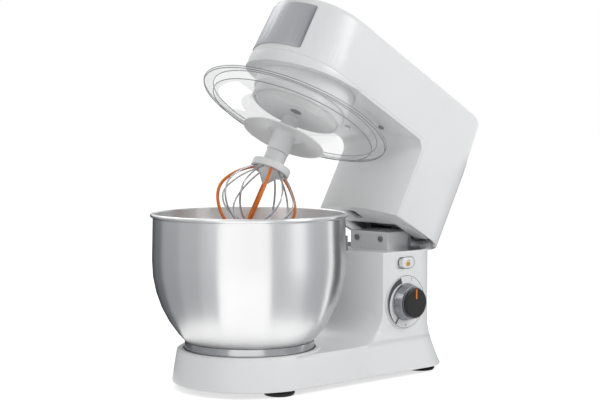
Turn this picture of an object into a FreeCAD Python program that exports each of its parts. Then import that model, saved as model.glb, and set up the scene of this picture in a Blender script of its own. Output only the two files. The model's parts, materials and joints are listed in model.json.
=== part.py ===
import FreeCAD, Part
import math
import os
from types import SimpleNamespace
import Sketcher

# Tilt-head stand mixer, in millimetres, +Z up.
# Every piece is drawn about the bowl's axis with the head closed and level.
# The pieces of the head are then turned about the hinge pin to the open pose.

Vector = FreeCAD.Vector
UP = Vector(0, 0, 1)
X_AXIS = Vector(1, 0, 0)
Y_AXIS = Vector(0, 1, 0)
doc = FreeCAD.newDocument("stand_mixer")

SIZES = (
    # Clearances and common walls
    ("running_gap", 0.05, "shaft to its bore"),
    ("moving_gap", 0.4, "between pieces that move past each other"),
    ("seat_gap", 0.1, "between pieces that are fitted together"),
    ("shell_wall", 3.0, "moulded shells"),
    ("bowl_axis_x", -113.15, "bowl axis from the origin"),
    # Feet and base
    ("foot_radius", 17.5, "rubber foot"),
    ("foot_height", 7.0, "floor to base"),
    ("front_foot_x", -11.0, "front feet from the bowl axis"),
    ("front_foot_y", 66.0, "front feet from the middle"),
    ("rear_foot_x", 218.0, "rear feet from the bowl axis"),
    ("rear_foot_y", 62.0, "rear feet from the middle"),
    ("base_radius", 89.3, "round nose of the base at its bottom edge"),
    ("base_height", 36.0, "base without the column"),
    ("base_draft", 9.6, "lean of the base's sides, degrees"),
    ("base_ledge", 0.5, "top of the base round the column's foot"),
    ("base_plate_thickness", 2.5, "bottom cover"),
    ("boss_radius", 5.0, "screw bosses"),
    ("front_boss_x", 105.0, "front bosses from the bowl axis"),
    ("front_boss_y", 62.0, "front bosses from the middle"),
    ("rear_boss_x", 180.0, "rear bosses from the bowl axis"),
    ("rear_boss_y", 74.0, "rear bosses from the middle"),
    ("screw_radius", 1.8, "screw shank"),
    ("screw_length", 12.0, "screw shank in a boss"),
    ("screw_head_radius", 3.6, "screw head"),
    ("screw_head_height", 1.8, "screw head"),
    # Column
    ("column_front_x", 146.0, "front edges of the column"),
    ("column_bulge", 16.0, "how far the front face swells between its edges"),
    ("column_half", 70.0, "half width of the column"),
    ("column_rear_x", 246.0, "rear face of the column"),
    ("column_corner", 40.0, "rear corners of the column in plan"),
    ("column_top_z", 147.5, "rim of the column"),
    ("column_flare", 11.0, "height over which the column's foot spreads"),
    ("column_blend", 36.0, "curve from the base up the column's front"),
    # Bowl and its seat
    ("rim_radius", 113.0, "outside of the bowl's rolled rim"),
    ("rim_z", 198.4, "top of the rim"),
    ("rim_height", 4.5, "rolled rim"),
    ("rim_lip", 3.4, "rolled rim outside the wall under it"),
    ("bowl_radius", 112.4, "widest part of the wall"),
    ("bowl_shoulder_z", 145.0, "height where the wall starts to curve in"),
    ("bowl_curve", 130.0, "curve of the lower wall"),
    ("bowl_bottom_z", 48.0, "underside of the bowl"),
    ("bowl_foot_ledge", 5.1, "ring outside the flat underside of the bowl"),
    ("bowl_wall", 1.4, "pressed steel"),
    ("bowl_foot_play", 2.3, "ring under the bowl in its seat"),
    ("bowl_foot_wall", 8.0, "ring under the bowl"),
    ("bowl_foot_gap", 0.23, "outer edge of the ring below the bowl's wall"),
    ("seat_margin", 4.2, "top of the base outside the bowl seat"),
    ("seat_wall", 2.4, "bowl seat"),
    ("seat_depth", 7.0, "bowl seat below the top of the base"),
    ("seat_floor", 3.0, "bowl seat"),
    ("seat_lip", 2.0, "lip of the seat over the base, width"),
    ("seat_lip_height", 1.4, "lip of the seat over the base, height"),
    ("bayonet_height", 3.0, "tabs that hold the bowl"),
    ("bayonet_half_angle", 10.0, "half width of a tab, degrees"),
    # Speed knob
    ("dial_x", 182.5, "speed knob from the bowl axis"),
    ("dial_z", 86.8, "speed knob's height"),
    ("dial_radius", 32.7, "printed ring"),
    ("dial_thickness", 2.0, "printed ring"),
    ("skirt_radius", 22.7, "knob's skirt at its foot"),
    ("skirt_top_radius", 19.4, "knob's skirt at its top"),
    ("skirt_height", 12.0, "knob's skirt"),
    ("face_radius", 18.2, "black front of the knob"),
    ("face_height", 5.5, "black front of the knob"),
    ("face_round", 1.0, "edge of the knob's front"),
    ("pointer_width", 2.2, "mark on the knob"),
    ("pointer_height", 0.5, "mark on the knob"),
    ("pointer_inner", 5.0, "start of the mark from the knob's axis"),
    ("pointer_outer", 16.5, "end of the mark"),
    ("knob_shaft_radius", 3.0, "shaft of the speed switch"),
    ("knob_hole_radius", 5.0, "hole in the column for that shaft"),
    ("switch_width", 30.0, "speed switch"),
    ("switch_depth", 21.0, "speed switch"),
    ("board_width", 44.0, "control board"),
    ("board_height", 52.0, "control board"),
    ("board_thickness", 1.6, "control board"),
    # Head lock
    ("lock_x", 183.5, "lock pocket from the bowl axis"),
    ("lock_z", 133.4, "lock pocket's height"),
    ("pocket_length", 32.0, "lock pocket"),
    ("pocket_width", 14.6, "lock pocket"),
    ("pocket_depth", 8.0, "lock pocket"),
    ("pocket_wall", 1.2, "lock pocket"),
    ("button_length", 20.8, "lock button"),
    ("button_play", 0.9, "lock button in its pocket"),
    ("lock_travel", 7.6, "slide of the lock button"),
    ("stem_width", 5.0, "stem behind the button"),
    ("stem_length", 4.0, "stem behind the pocket"),
    ("bar_thickness", 3.0, "lock bar"),
    ("bar_width", 9.0, "lock bar and latch hook"),
    ("hook_x", 155.0, "latch hook from the bowl axis, unlocked"),
    ("hook_y", 8.5, "latch hook from the middle"),
    ("hook_depth", 6.0, "latch hook"),
    ("hook_top_z", 163.0, "top of the latch hook"),
    ("hook_nose", 5.5, "reach of the hook"),
    ("hook_head", 5.0, "height of the hook's nose"),
    ("hook_play", 1.5, "latch hook in the deck's slot"),
    ("latch_slot_front", 14.0, "front of the neck's slot before the hook"),
    ("latch_slot_rear", 7.0, "rear of the neck's slot behind the hook"),
    ("latch_slot_side", 3.0, "neck's slot beside the hook"),
    # Hinge
    ("hinge_x", 232.0, "hinge pin from the bowl axis"),
    ("hinge_z", 126.0, "hinge pin's height"),
    ("open_angle", 28.66, "head open, degrees"),
    ("pin_radius", 5.0, "hinge pin"),
    ("pin_end", 3.0, "hinge pin outside the arms"),
    ("bush_wall", 2.5, "hinge bush"),
    ("tower_front_x", 190.0, "hinge tower"),
    ("tower_half", 33.0, "half width of the hinge tower"),
    ("tower_top_z", 167.0, "top of the hinge tower"),
    ("tower_cheek_x", 219.0, "front of the tower's cheeks below the deck"),
    ("tower_cheek_z", 112.0, "bottom of the tower's cheeks"),
    ("deck_drop", 2.5, "deck below the column's rim"),
    ("deck_rear_x", 198.0, "rear edge of the deck beside the tower"),
    ("tower_screw_y", 21.0, "screws of the hinge tower from the middle"),
    ("tower_screw_z", 158.5, "screws of the hinge tower"),
    ("bracket_thickness", 4.0, "steel brackets of the hinge"),
    ("bracket_flange", 15.0, "front flange of a bracket"),
    ("bracket_bottom_z", 116.0, "bottom of the brackets"),
    ("bracket_rear", 7.0, "rear edge of a bracket behind the pin"),
    ("arm_gap", 1.0, "tower to hinge arm"),
    ("arm_thickness", 4.0, "hinge arm"),
    ("arm_eye", 9.5, "round end of the hinge arm"),
    ("arm_front", 30.0, "front edge of the arm before the pin"),
    ("arm_rear", 8.0, "rear edge of the arm behind the pin"),
    ("arm_waist", 3.0, "rear edge of the arm's waist before the pin"),
    ("arm_waist_z", 26.0, "height of the waist above the pin"),
    ("arm_spread_z", 42.0, "height where the arm is full width above the pin"),
    # Head
    ("head_half", 69.2, "half width of the head"),
    ("nose_x", -6.5, "centre of the round nose"),
    ("head_rear_x", 250.0, "rear of the head"),
    ("head_corner", 40.0, "rear corners of the head in plan"),
    ("head_draft", 2.6, "lean of the head's sides, degrees"),
    ("seam_z", 254.0, "lower edge of the upper shell"),
    ("head_top_z", 329.0, "top of the head"),
    ("head_round", 9.0, "top edge of the head"),
    ("belly_thickness", 3.0, "underside of the head"),
    ("neck_front_x", 146.0, "front edges of the neck"),
    ("neck_bulge", 16.0, "how far the neck's front swells"),
    ("neck_bottom_z", 153.0, "bottom of the neck"),
    ("neck_floor_rear_x", 174.0, "rear edge of the neck's floor"),
    ("neck_blend", 14.0, "curve from the neck to the belly"),
    ("chin_height", 15.0, "chin below the seam at the nose"),
    ("chin_reach", 0.8, "chin in front of the upper shell"),
    ("chin_hollow", 60.0, "round hollow inside the chin"),
    ("chin_rear_x", 26.0, "where the chin runs out"),
    ("trim_bottom_z", 261.5, "lower edge of the front trim"),
    ("trim_top_z", 318.0, "upper edge of the front trim"),
    ("trim_half_angle", 38.0, "half width of the front trim, degrees"),
    ("trim_thickness", 0.8, "front trim"),
    ("belly_screw_x", 106.0, "screws in the belly from the bowl axis"),
    ("belly_screw_y", 30.0, "screws in the belly from the middle"),
    # Gearbox and drive
    ("drum_radius", 55.0, "gearbox drum"),
    ("drum_wall", 3.0, "gearbox drum"),
    ("drum_bottom_z", 214.0, "lower edge of the drum"),
    ("drum_roof", 8.0, "gearbox roof"),
    ("flange_radius", 63.0, "gearbox flange"),
    ("flange_height", 4.0, "gearbox flange"),
    ("gear_module", 1.5, "gear teeth"),
    ("ring_teeth", 60, "ring gear"),
    ("planet_teeth", 20, "planet gear"),
    ("pressure_angle", 20.0, "gear teeth, degrees"),
    ("addendum", 1.4, "tip of a tooth from the pitch circle"),
    ("dedendum", 1.9, "root of a tooth from the pitch circle"),
    ("tooth_play", 0.3, "play between teeth"),
    ("gear_z", 231.0, "lower face of the gears"),
    ("gear_width", 11.0, "gears"),
    ("carrier_radius", 50.8, "planet carrier"),
    ("carrier_bottom_z", 213.4, "underside of the planet carrier"),
    ("carrier_height", 6.0, "planet carrier"),
    ("carrier_angle", 56.8, "where the beater stands, degrees"),
    ("carrier_boss_radius", 10.2, "carrier boss round the beater shaft"),
    ("carrier_boss_z", 197.5, "underside of the carrier boss"),
    ("drive_shaft_radius", 7.0, "carrier shaft"),
    ("drive_bush_wall", 3.0, "carrier shaft bushes"),
    ("drive_bush_length", 8.0, "carrier shaft bushes"),
    ("hub_wall", 4.0, "gearbox hub round its bushes"),
    ("hub_bottom_z", 246.0, "lower end of the gearbox hub"),
    ("hub_top_z", 270.0, "upper end of the gearbox hub"),
    ("pulley_z", 273.0, "lower face of the pulleys"),
    ("pulley_width", 14.0, "pulleys"),
    ("pulley_radius", 45.0, "driven pulley"),
    ("pulley_ratio", 5.0, "driven pulley to motor pulley"),
    ("belt_thickness", 2.2, "drive belt"),
    ("belt_width", 11.0, "drive belt"),
    ("shaft_end", 3.0, "shafts above their pulleys"),
    ("chassis_thickness", 4.0, "plate that carries motor and gearbox"),
    ("chassis_half", 46.0, "half width of that plate"),
    ("chassis_front_x", -32.0, "front edge of that plate"),
    ("chassis_rear_x", 240.0, "rear edge of that plate"),
    ("motor_x", 190.0, "motor axis from the bowl axis"),
    ("motor_radius", 31.5, "motor's field"),
    ("motor_height", 72.0, "motor's frame"),
    ("field_bore", 20.0, "bore of the motor's field"),
    ("armature_gap", 1.0, "armature to field"),
    ("armature_end", 4.0, "armature to bearings"),
    ("motor_shaft_radius", 4.0, "motor shaft"),
    ("motor_shaft_hole", 7.0, "hole in the chassis for the motor shaft"),
    ("motor_bearing_radius", 9.5, "motor bearings"),
    ("motor_bearing_width", 6.0, "motor bearings"),
    ("brush_width", 9.0, "brush holders"),
    ("brush_reach", 5.0, "brush holders out of the motor's frame"),
    ("brush_z", 12.0, "brush holders above the motor's lower end"),
    ("fan_radius", 27.0, "cooling fan"),
    ("fan_height", 8.0, "cooling fan"),
    ("fan_gap", 3.0, "cooling fan below the motor's frame"),
    ("fan_disc", 1.6, "disc and blades of the fan"),
    ("fan_hub_radius", 8.0, "hub of the fan"),
    # Beater
    ("beater_shaft_radius", 6.0, "beater shaft"),
    ("beater_shaft_z", 151.4, "lower end of the beater shaft"),
    ("drive_pin_radius", 2.0, "cross pin of the beater shaft"),
    ("drive_pin_half", 10.0, "half length of the cross pin"),
    ("drive_pin_z", 159.0, "height of the cross pin"),
    ("cap_radius", 51.0, "drip cap"),
    ("cap_rim_z", 186.0, "rim of the drip cap"),
    ("cap_rise", 5.0, "drip cap from rim to crown"),
    ("cap_wall", 2.0, "drip cap"),
    ("cap_crown_radius", 22.0, "flat crown of the drip cap"),
    ("cap_sleeve_radius", 13.6, "sleeve under the drip cap"),
    ("cap_sleeve_z", 167.3, "lower end of that sleeve"),
    ("whisk_hub_radius", 13.0, "whisk hub"),
    ("whisk_hub_gap", 0.6, "whisk hub below the sleeve"),
    ("whisk_flange_radius", 23.5, "flange that holds the wires"),
    ("whisk_flange_z", 142.0, "underside of that flange"),
    ("whisk_flange_height", 8.6, "flange that holds the wires"),
    ("whisk_cone_radius", 15.0, "cone under the flange"),
    ("whisk_cone_z", 122.3, "tip of the cone"),
    ("whisk_radius", 47.0, "widest part of the wires"),
    ("whisk_belly_z", 105.0, "height of the widest part"),
    ("whisk_bottom_z", 58.0, "lowest point of the wires"),
    ("wire_circle", 19.5, "where the wires meet the flange"),
    ("wire_lean", 0.8, "how far a wire's slanting end rises, part of its radius"),
    ("wire_radius", 1.1, "steel wire"),
    ("coated_wire_radius", 1.9, "coated wire"),
    ("wire_gap", 0.6, "between crossing wires"),
    ("wire_angle", -35.0, "first coated wire, degrees"),
    # Splash guard
    ("guard_radius", 114.9, "brim of the splash guard"),
    ("guard_top_z", 209.0, "top of the brim"),
    ("guard_wall", 2.0, "splash guard"),
    ("guard_brim", 12.0, "width of the brim"),
    ("guard_drop", 6.5, "brim to floor"),
    ("guard_step", 3.5, "lean of the wall between brim and floor"),
    ("guard_collar_z", 224.0, "top of the collar round the drum"),
    ("feed_inner", 64.0, "feed opening, inner edge"),
    ("feed_outer", 93.0, "feed opening, outer edge"),
    ("feed_angle", 146.0, "middle of the feed opening, degrees"),
    ("feed_half_angle", 36.0, "half width of the feed opening, degrees"),
    # Cord inlet
    ("gland_z", 66.0, "cord inlet's height"),
    ("gland_radius", 8.0, "cord inlet"),
    ("gland_flange_radius", 11.0, "cord inlet's flange"),
    ("gland_flange", 2.5, "cord inlet's flange, thickness"),
    ("gland_depth", 8.0, "cord inlet inside the column's face"),
    ("cord_radius", 3.6, "bore for the cord"),
)

sheet = doc.addObject("Spreadsheet::Sheet", "Sizes")
for row, (name, value, meaning) in enumerate(SIZES, start=1):
    sheet.set(f"A{row}", name)
    sheet.set(f"B{row}", str(value))
    sheet.setAlias(f"B{row}", name)
    sheet.set(f"C{row}", meaning)
doc.recompute()


class Size:
    """A length or an angle: its value now, and the expression that ties it to the sheet."""

    def __init__(self, value, text):
        self.value = value
        self.text = text

    def __add__(self, other):
        other = as_size(other)
        return Size(self.value + other.value, f"({self.text} + {other.text})")

    def __sub__(self, other):
        other = as_size(other)
        return Size(self.value - other.value, f"({self.text} - {other.text})")

    def __rsub__(self, other):
        return as_size(other) - self

    def __mul__(self, other):
        other = as_size(other)
        return Size(self.value * other.value, f"({self.text} * {other.text})")

    def __truediv__(self, other):
        other = as_size(other)
        return Size(self.value / other.value, f"({self.text} / {other.text})")

    def __neg__(self):
        return Size(-self.value, f"(0 - {self.text})")

    __radd__ = __add__
    __rmul__ = __mul__


def as_size(amount):
    return amount if isinstance(amount, Size) else Size(float(amount), f"({amount})")


def root(amount):
    return Size(math.sqrt(amount.value), f"sqrt({amount.text})")


def sine(angle):
    return Size(math.sin(math.radians(angle.value)), f"sin({angle.text})")


def cosine(angle):
    return Size(math.cos(math.radians(angle.value)), f"cos({angle.text})")


def tangent(angle):
    return sine(angle) / cosine(angle)


def polar(radius, angle):
    return radius * cosine(angle), radius * sine(angle)


def swell_radius(half, bulge):
    """Radius of a face that swells by the bulge between two edges."""
    return (half * half + bulge * bulge) / (2 * bulge)


def arc_height(low_x, low_y, high_x, high_y, radius, x):
    """Height at x of an arc that hangs between two points and curves up."""
    wide, tall = high_x - low_x, high_y - low_y
    chord = root(wide * wide + tall * tall)
    reach = root(radius * radius - chord * chord / 4) / chord
    middle_x = (low_x + high_x) / 2 - tall * reach
    middle_y = (low_y + high_y) / 2 + wide * reach
    return middle_y - root(radius * radius - (x - middle_x) * (x - middle_x))


def both_sides(y):
    return (("left", y), ("right", -y))


s = SimpleNamespace(**{name: Size(float(sheet.get(name)), f"Sizes.{name}") for name, _, _ in SIZES})

# Sizes that several pieces share
base_top_z = s.foot_height + s.base_height
base_inset = s.base_height * tangent(s.base_draft)
base_rear_x = s.column_rear_x + base_inset + s.base_ledge
base_corner = s.column_corner + base_inset
plate_top_z = s.foot_height + s.base_plate_thickness
boss_spots = [(s.front_boss_x, y) for _, y in both_sides(s.front_boss_y)]
boss_spots += [(s.rear_boss_x, y) for _, y in both_sides(s.rear_boss_y)]
screw_bore = s.screw_radius + s.seat_gap
column_swell = swell_radius(s.column_half, s.column_bulge)
column_middle_x = s.column_front_x - s.column_bulge
deck_top_z = s.column_top_z - s.deck_drop
deck_bottom_z = deck_top_z - s.shell_wall
seat_floor_z = base_top_z - s.seat_depth
seat_radius = s.base_radius - base_inset - s.seat_margin - s.seat_wall
bowl_foot_z = seat_floor_z + s.moving_gap
bowl_foot_radius = seat_radius - s.bowl_foot_play
bowl_bottom_radius = bowl_foot_radius - s.bowl_foot_ledge
bowl_neck_radius = s.rim_radius - s.rim_lip
bowl_foot_edge_z = arc_height(
    bowl_bottom_radius, s.bowl_bottom_z, s.bowl_radius, s.bowl_shoulder_z, s.bowl_curve, bowl_foot_radius)
bayonet_top_z = bowl_foot_z + s.bayonet_height
skirt_z = s.dial_thickness + s.moving_gap
face_z = skirt_z + s.skirt_height
button_shift = s.pocket_length / 2 - s.button_play - s.button_length / 2
bar_x = s.lock_x + button_shift
arm_inner_y = s.tower_half + s.arm_gap
arm_outer_y = arm_inner_y + s.arm_thickness
pin_half = arm_outer_y + s.pin_end
bush_radius = s.pin_radius + s.bush_wall
bracket_outer_y = s.tower_half - s.shell_wall
belly_z = s.seam_z - s.belly_thickness
belly_screws = [(s.belly_screw_x, y) for _, y in both_sides(s.belly_screw_y)]
neck_swell = swell_radius(s.head_half, s.neck_bulge)
neck_middle_x = s.neck_front_x - s.neck_bulge
chassis_z = s.seam_z + s.flange_height
drum_inner = s.drum_radius - s.drum_wall
drive_bore = s.drive_shaft_radius + s.running_gap
drive_bush_radius = s.drive_shaft_radius + s.drive_bush_wall
motor_bottom_z = chassis_z - s.motor_height
motor_bore = s.motor_shaft_radius + s.running_gap
motor_pulley_radius = s.pulley_radius / s.pulley_ratio
pulley_top_z = s.pulley_z + s.pulley_width
fan_top_z = motor_bottom_z - s.fan_gap
fan_bottom_z = fan_top_z - s.fan_height
ring_pitch = s.gear_module * s.ring_teeth / 2
planet_pitch = s.gear_module * s.planet_teeth / 2
eccentricity = ring_pitch - planet_pitch
beater_bore = s.beater_shaft_radius + s.running_gap
whisk_hub_z = s.cap_sleeve_z - s.whisk_hub_gap
whisk_flange_top_z = s.whisk_flange_z + s.whisk_flange_height


def moved(x=0, y=0, z=0, axis=UP, angle=0):
    """A frame shifted by sizes and turned about an axis."""
    base = Vector(as_size(x).value, as_size(y).value, as_size(z).value)
    return FreeCAD.Placement(base, FreeCAD.Rotation(axis, as_size(angle).value))


# Frames of the stand, the head and the turning groups
sideways = moved(axis=X_AXIS, angle=90)
stand_frame = moved(s.bowl_axis_x)
hinge_frame = stand_frame * moved(s.hinge_x, 0, s.hinge_z)
arm_frame = hinge_frame * moved(axis=Y_AXIS, angle=s.open_angle)
head_frame = arm_frame * moved(-s.hinge_x, 0, -s.hinge_z)
carrier_frame = head_frame * moved(angle=s.carrier_angle)
beater_frame = carrier_frame * moved(eccentricity)
drive_pin_frame = beater_frame * moved(0, 0, s.drive_pin_z, Y_AXIS, 90)
motor_place = head_frame * moved(s.motor_x)
nose_frame = head_frame * moved(s.nose_x)
dial_frame = stand_frame * moved(s.dial_x, -s.column_half, s.dial_z, X_AXIS, 90)
lock_frame = stand_frame * moved(s.lock_x, -s.column_half, s.lock_z, X_AXIS, 90)
gland_frame = stand_frame * moved(s.column_rear_x, 0, s.gland_z, Y_AXIS, 90)

pieces = []


def keep(item, label, frame):
    """Names a finished sub-part and notes its frame."""
    item.Label = label
    pieces.append((item, frame))


def bind(item, **sizes):
    """Ties an object's properties to the sheet."""
    for name, amount in sizes.items():
        item.setExpression(name, as_size(amount).text)


def hold_at(item, x, y, z):
    """Ties an object's place to the sheet."""
    for name, amount in zip("xyz", (x, y, z)):
        item.setExpression(f"Placement.Base.{name}", as_size(amount).text)


def pin_point(sketch, edge, end, x, y):
    """Holds one point of an edge at a place worked out from the sheet."""
    for kind, amount in (("DistanceX", x), ("DistanceY", y)):
        index = sketch.addConstraint(Sketcher.Constraint(kind, -1, 1, edge, end, amount.value))
        sketch.setExpression(f"Constraints[{index}]", amount.text)


def fix_radius(sketch, edge, radius):
    index = sketch.addConstraint(Sketcher.Constraint("Radius", edge, radius.value))
    sketch.setExpression(f"Constraints[{index}]", radius.text)


def add_arc(sketch, first, last, radius):
    """An arc between two points, and its end numbers in the outline's direction."""
    turns_left = radius.value > 0
    size = radius if turns_left else -radius
    begin, finish = (first, last) if turns_left else (last, first)
    chord = finish - begin
    rise = math.sqrt(max(size.value ** 2 - chord.Length ** 2 / 4, 0))
    across = Vector(-chord.y, chord.x, 0).normalize()
    centre = (begin + finish) * 0.5 + across * rise
    start_angle = math.atan2(begin.y - centre.y, begin.x - centre.x)
    end_angle = math.atan2(finish.y - centre.y, finish.x - centre.x)
    if end_angle <= start_angle:
        end_angle += 2 * math.pi
    arc = Part.ArcOfCircle(Part.Circle(centre, UP, size.value), start_angle, end_angle)
    edge = sketch.addGeometry(arc, False)
    fix_radius(sketch, edge, size)
    return (edge, 1, 2) if turns_left else (edge, 2, 1)


def outline(*points):
    """A closed outline: a point is (x, y), or (x, y, radius) where an arc leads to it.
    A positive radius turns left and a negative one turns right."""
    sized = [[as_size(amount) for amount in point] for point in points]
    spots = [Vector(point[0].value, point[1].value, 0) for point in sized]

    def add(sketch):
        edges = []
        for index, point in enumerate(sized):
            first, last = spots[index - 1], spots[index]
            if len(point) == 3:
                edges.append(add_arc(sketch, first, last, point[2]))
            else:
                edges.append((sketch.addGeometry(Part.LineSegment(first, last), False), 1, 2))
        for index, (edge, _, finish) in enumerate(edges):
            following, begin, _ = edges[(index + 1) % len(edges)]
            sketch.addConstraint(Sketcher.Constraint("Coincident", edge, finish, following, begin))
            pin_point(sketch, edge, finish, sized[index][0], sized[index][1])

    return add


def circle(x, y, radius):
    """A full circle for a sketch."""
    x, y, radius = as_size(x), as_size(y), as_size(radius)

    def add(sketch):
        edge = sketch.addGeometry(Part.Circle(Vector(x.value, y.value, 0), UP, radius.value), False)
        pin_point(sketch, edge, 3, x, y)
        fix_radius(sketch, edge, radius)

    return add


def rectangle(low_x, high_x, low_y, high_y):
    return outline((low_x, low_y), (high_x, low_y), (high_x, high_y), (low_x, high_y))


def oval(low_x, high_x, y, half):
    """A slot between two end centres."""
    return outline(
        (low_x, y - half, half), (high_x, y - half), (high_x + half, y, half),
        (high_x, y + half, half), (low_x, y + half), (low_x - half, y, half))


def sector(inner, outer, middle, half_angle):
    """Part of a ring, given by its middle direction and half width in degrees."""
    start, end = middle - half_angle, middle + half_angle
    return outline(
        (*polar(inner, start), -inner), polar(outer, start), (*polar(outer, end), outer), polar(inner, end))


def rounded_rear(front, half, rear, corner):
    """A plan with a straight front and rounded rear corners."""
    return outline(
        (front, -half), (rear - corner, -half), (rear, corner - half, corner),
        (rear, half - corner), (rear - corner, half, corner), (front, half))


def pillar(front, bulge, half, rear, corner):
    """The same plan with a swelling front."""
    swell = swell_radius(half, bulge)
    return outline(
        (front, -half, swell), (rear - corner, -half), (rear, corner - half, corner),
        (rear, half - corner), (rear - corner, half, corner), (front, half), (front - bulge, 0, swell))


def bullet(nose, radius, rear, corner):
    """The same plan with a round nose."""
    return outline(
        (nose, -radius, radius), (rear - corner, -radius), (rear, corner - radius, corner),
        (rear, radius - corner), (rear - corner, radius, corner), (nose, radius), (nose - radius, 0, radius))


def new_body(label):
    return doc.addObject("PartDesign::Body", label)


def draw(part, role, level, *loops, shift=0):
    """A sketch on one of the part's own planes, lifted along its normal and shifted along its X."""
    sketch = part.newObject("Sketcher::SketchObject", f"{part.Name}_sketch")
    plane = [feature for feature in part.Origin.OriginFeatures if feature.Role == role][0]
    sketch.AttachmentSupport = (plane, [""])
    sketch.MapMode = "FlatFace"
    sketch.setExpression("AttachmentOffset.Base.x", as_size(shift).text)
    sketch.setExpression("AttachmentOffset.Base.z", as_size(level).text)
    for loop in loops:
        loop(sketch)
    return sketch


def raised(part, kind, role, level, length, loops, taper):
    """A straight feature along the normal of the plane it is drawn on."""
    feature = part.newObject(f"PartDesign::{kind}", f"{part.Name}_{kind}")
    feature.Profile = draw(part, role, level, *loops)
    bind(feature, Length=length, TaperAngle=-as_size(taper))
    return feature


def pad(part, role, level, length, *loops, taper=0):
    """Adds a drawn outline; the taper draws it in on the way up."""
    return raised(part, "Pad", role, level, length, loops, taper)


def cut(part, role, level, length, *loops, taper=0):
    """Takes a drawn outline away; the taper draws it in on the way up."""
    feature = raised(part, "Pocket", role, level, length, loops, taper)
    feature.Reversed = True
    return feature


def turned(part, kind, *loops, shift=0, angle=360):
    """A section turned about an upright axis; a part turn is even about the sketch."""
    feature = part.newObject(f"PartDesign::{kind}", f"{part.Name}_{kind}")
    sketch = draw(part, "XZ_Plane", 0, *loops, shift=shift)
    feature.Profile = sketch
    feature.ReferenceAxis = (sketch, ["V_Axis"])
    feature.Midplane = True
    bind(feature, Angle=angle)
    return feature


def spread(part, lower, upper):
    """A ruled transition between two drawn outlines."""
    feature = part.newObject("PartDesign::AdditiveLoft", f"{part.Name}_spread")
    feature.Profile = lower
    feature.Sections = [upper]
    feature.Ruled = True


def repeat_round(part, feature, count):
    """Copies a feature evenly round the part's own Z axis."""
    pattern = part.newObject("PartDesign::PolarPattern", f"{part.Name}_pattern")
    pattern.Originals = [feature]
    pattern.Axis = (feature.Profile[0], ["N_Axis"])
    pattern.Angle = 360
    pattern.Occurrences = count
    part.Tip = pattern


def round_edges(part, feature, radius, level):
    """Rounds the edges that lie at one height."""
    doc.recompute()
    names = []
    for number, edge in enumerate(feature.Shape.Edges, start=1):
        box = edge.BoundBox
        if abs(box.ZMin - level.value) < 0.01 and abs(box.ZMax - level.value) < 0.01:
            names.append(f"Edge{number}")
    fillet = part.newObject("PartDesign::Fillet", f"{part.Name}_round")
    fillet.Base = (feature, names)
    bind(fillet, Radius=radius)


def turned_body(label, *points):
    """A round body from its section."""
    part = new_body(label)
    turned(part, "Revolution", outline(*points))
    return part


def turned_piece(label, frame, *points):
    keep(turned_body(label, *points), label, frame)


def ring_section(inner, outer, bottom, top):
    return (inner, bottom), (outer, bottom), (outer, top), (inner, top)


def cylinder(name, radius, height, x, y, z, frame=moved()):
    item = doc.addObject("Part::Cylinder", name)
    bind(item, Radius=radius, Height=height)
    item.Placement = frame
    hold_at(item, x, y, z)
    return item


def block(name, low, high):
    """A box between two corners."""
    item = doc.addObject("Part::Box", name)
    length, width, height = (top - bottom for bottom, top in zip(low, high))
    bind(item, Length=length, Width=width, Height=height)
    hold_at(item, *low)
    return item


def group(label, items, frame):
    """Several equal pieces kept as one sub-part."""
    item = doc.addObject("Part::Compound", label)
    item.Links = items
    keep(item, label, frame)


def screw(name, length, x, y, z, frame=moved()):
    """A pan-head screw: the shank starts at the point and runs along the frame's Z axis."""
    along = frame.Rotation.multVec(UP)
    drop = s.screw_head_height
    head = cylinder(
        f"{name}_head", s.screw_head_radius, drop, x - drop * along.x, y - drop * along.y, z - drop * along.z, frame)
    shank = cylinder(f"{name}_shank", s.screw_radius, length, x, y, z, frame)
    item = doc.addObject("Part::MultiFuse", name)
    item.Shapes = [head, shank]
    return item


# Stand

def make_base_shell():
    part = new_body("base_shell")
    wall = s.shell_wall
    cavity = s.base_height - wall
    pad(part, "XY_Plane", s.foot_height, s.base_height,
        bullet(0, s.base_radius, base_rear_x, base_corner), taper=s.base_draft)
    add_column(part)
    cut(part, "XY_Plane", s.foot_height, cavity,
        bullet(0, s.base_radius - wall, base_rear_x - wall, base_corner - wall), taper=s.base_draft)
    cut(part, "XY_Plane", s.foot_height + cavity, s.column_top_z,
        pillar(s.column_front_x + wall, s.column_bulge, s.column_half - wall,
               s.column_rear_x - wall, s.column_corner - wall))
    cut(part, "XY_Plane", s.foot_height + cavity, wall,
        circle(0, 0, seat_radius + s.seat_wall + s.seat_gap))
    add_bosses(part)
    cut_side_openings(part)
    cut(part, "YZ_Plane", s.column_rear_x - wall, wall,
        circle(0, s.gland_z, s.gland_radius + s.seat_gap))
    keep(part, "base_shell", stand_frame)


def add_column(part):
    """The column, spread at its foot, with a swelling front that curves out onto the base."""
    blend, rear, corner = s.column_blend, s.column_rear_x, s.column_corner
    front = column_middle_x - blend
    foot_half = s.base_radius - base_inset - s.base_ledge
    flare_top = base_top_z + s.column_flare
    lower = draw(part, "XY_Plane", base_top_z, rounded_rear(front, foot_half, rear, corner))
    upper = draw(part, "XY_Plane", flare_top, rounded_rear(front, s.column_half, rear, corner))
    spread(part, lower, upper)
    pad(part, "XY_Plane", flare_top, s.column_top_z - flare_top,
        rounded_rear(front, s.column_half, rear, corner))
    far = column_swell + blend + s.base_radius
    over = s.column_top_z + s.shell_wall
    turned(part, "Groove", outline(
        (-far, base_top_z), (-column_swell - blend, base_top_z), (-column_swell, base_top_z + blend, blend),
        (-column_swell, over), (-far, over)), shift=column_middle_x + column_swell, angle=90)


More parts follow.
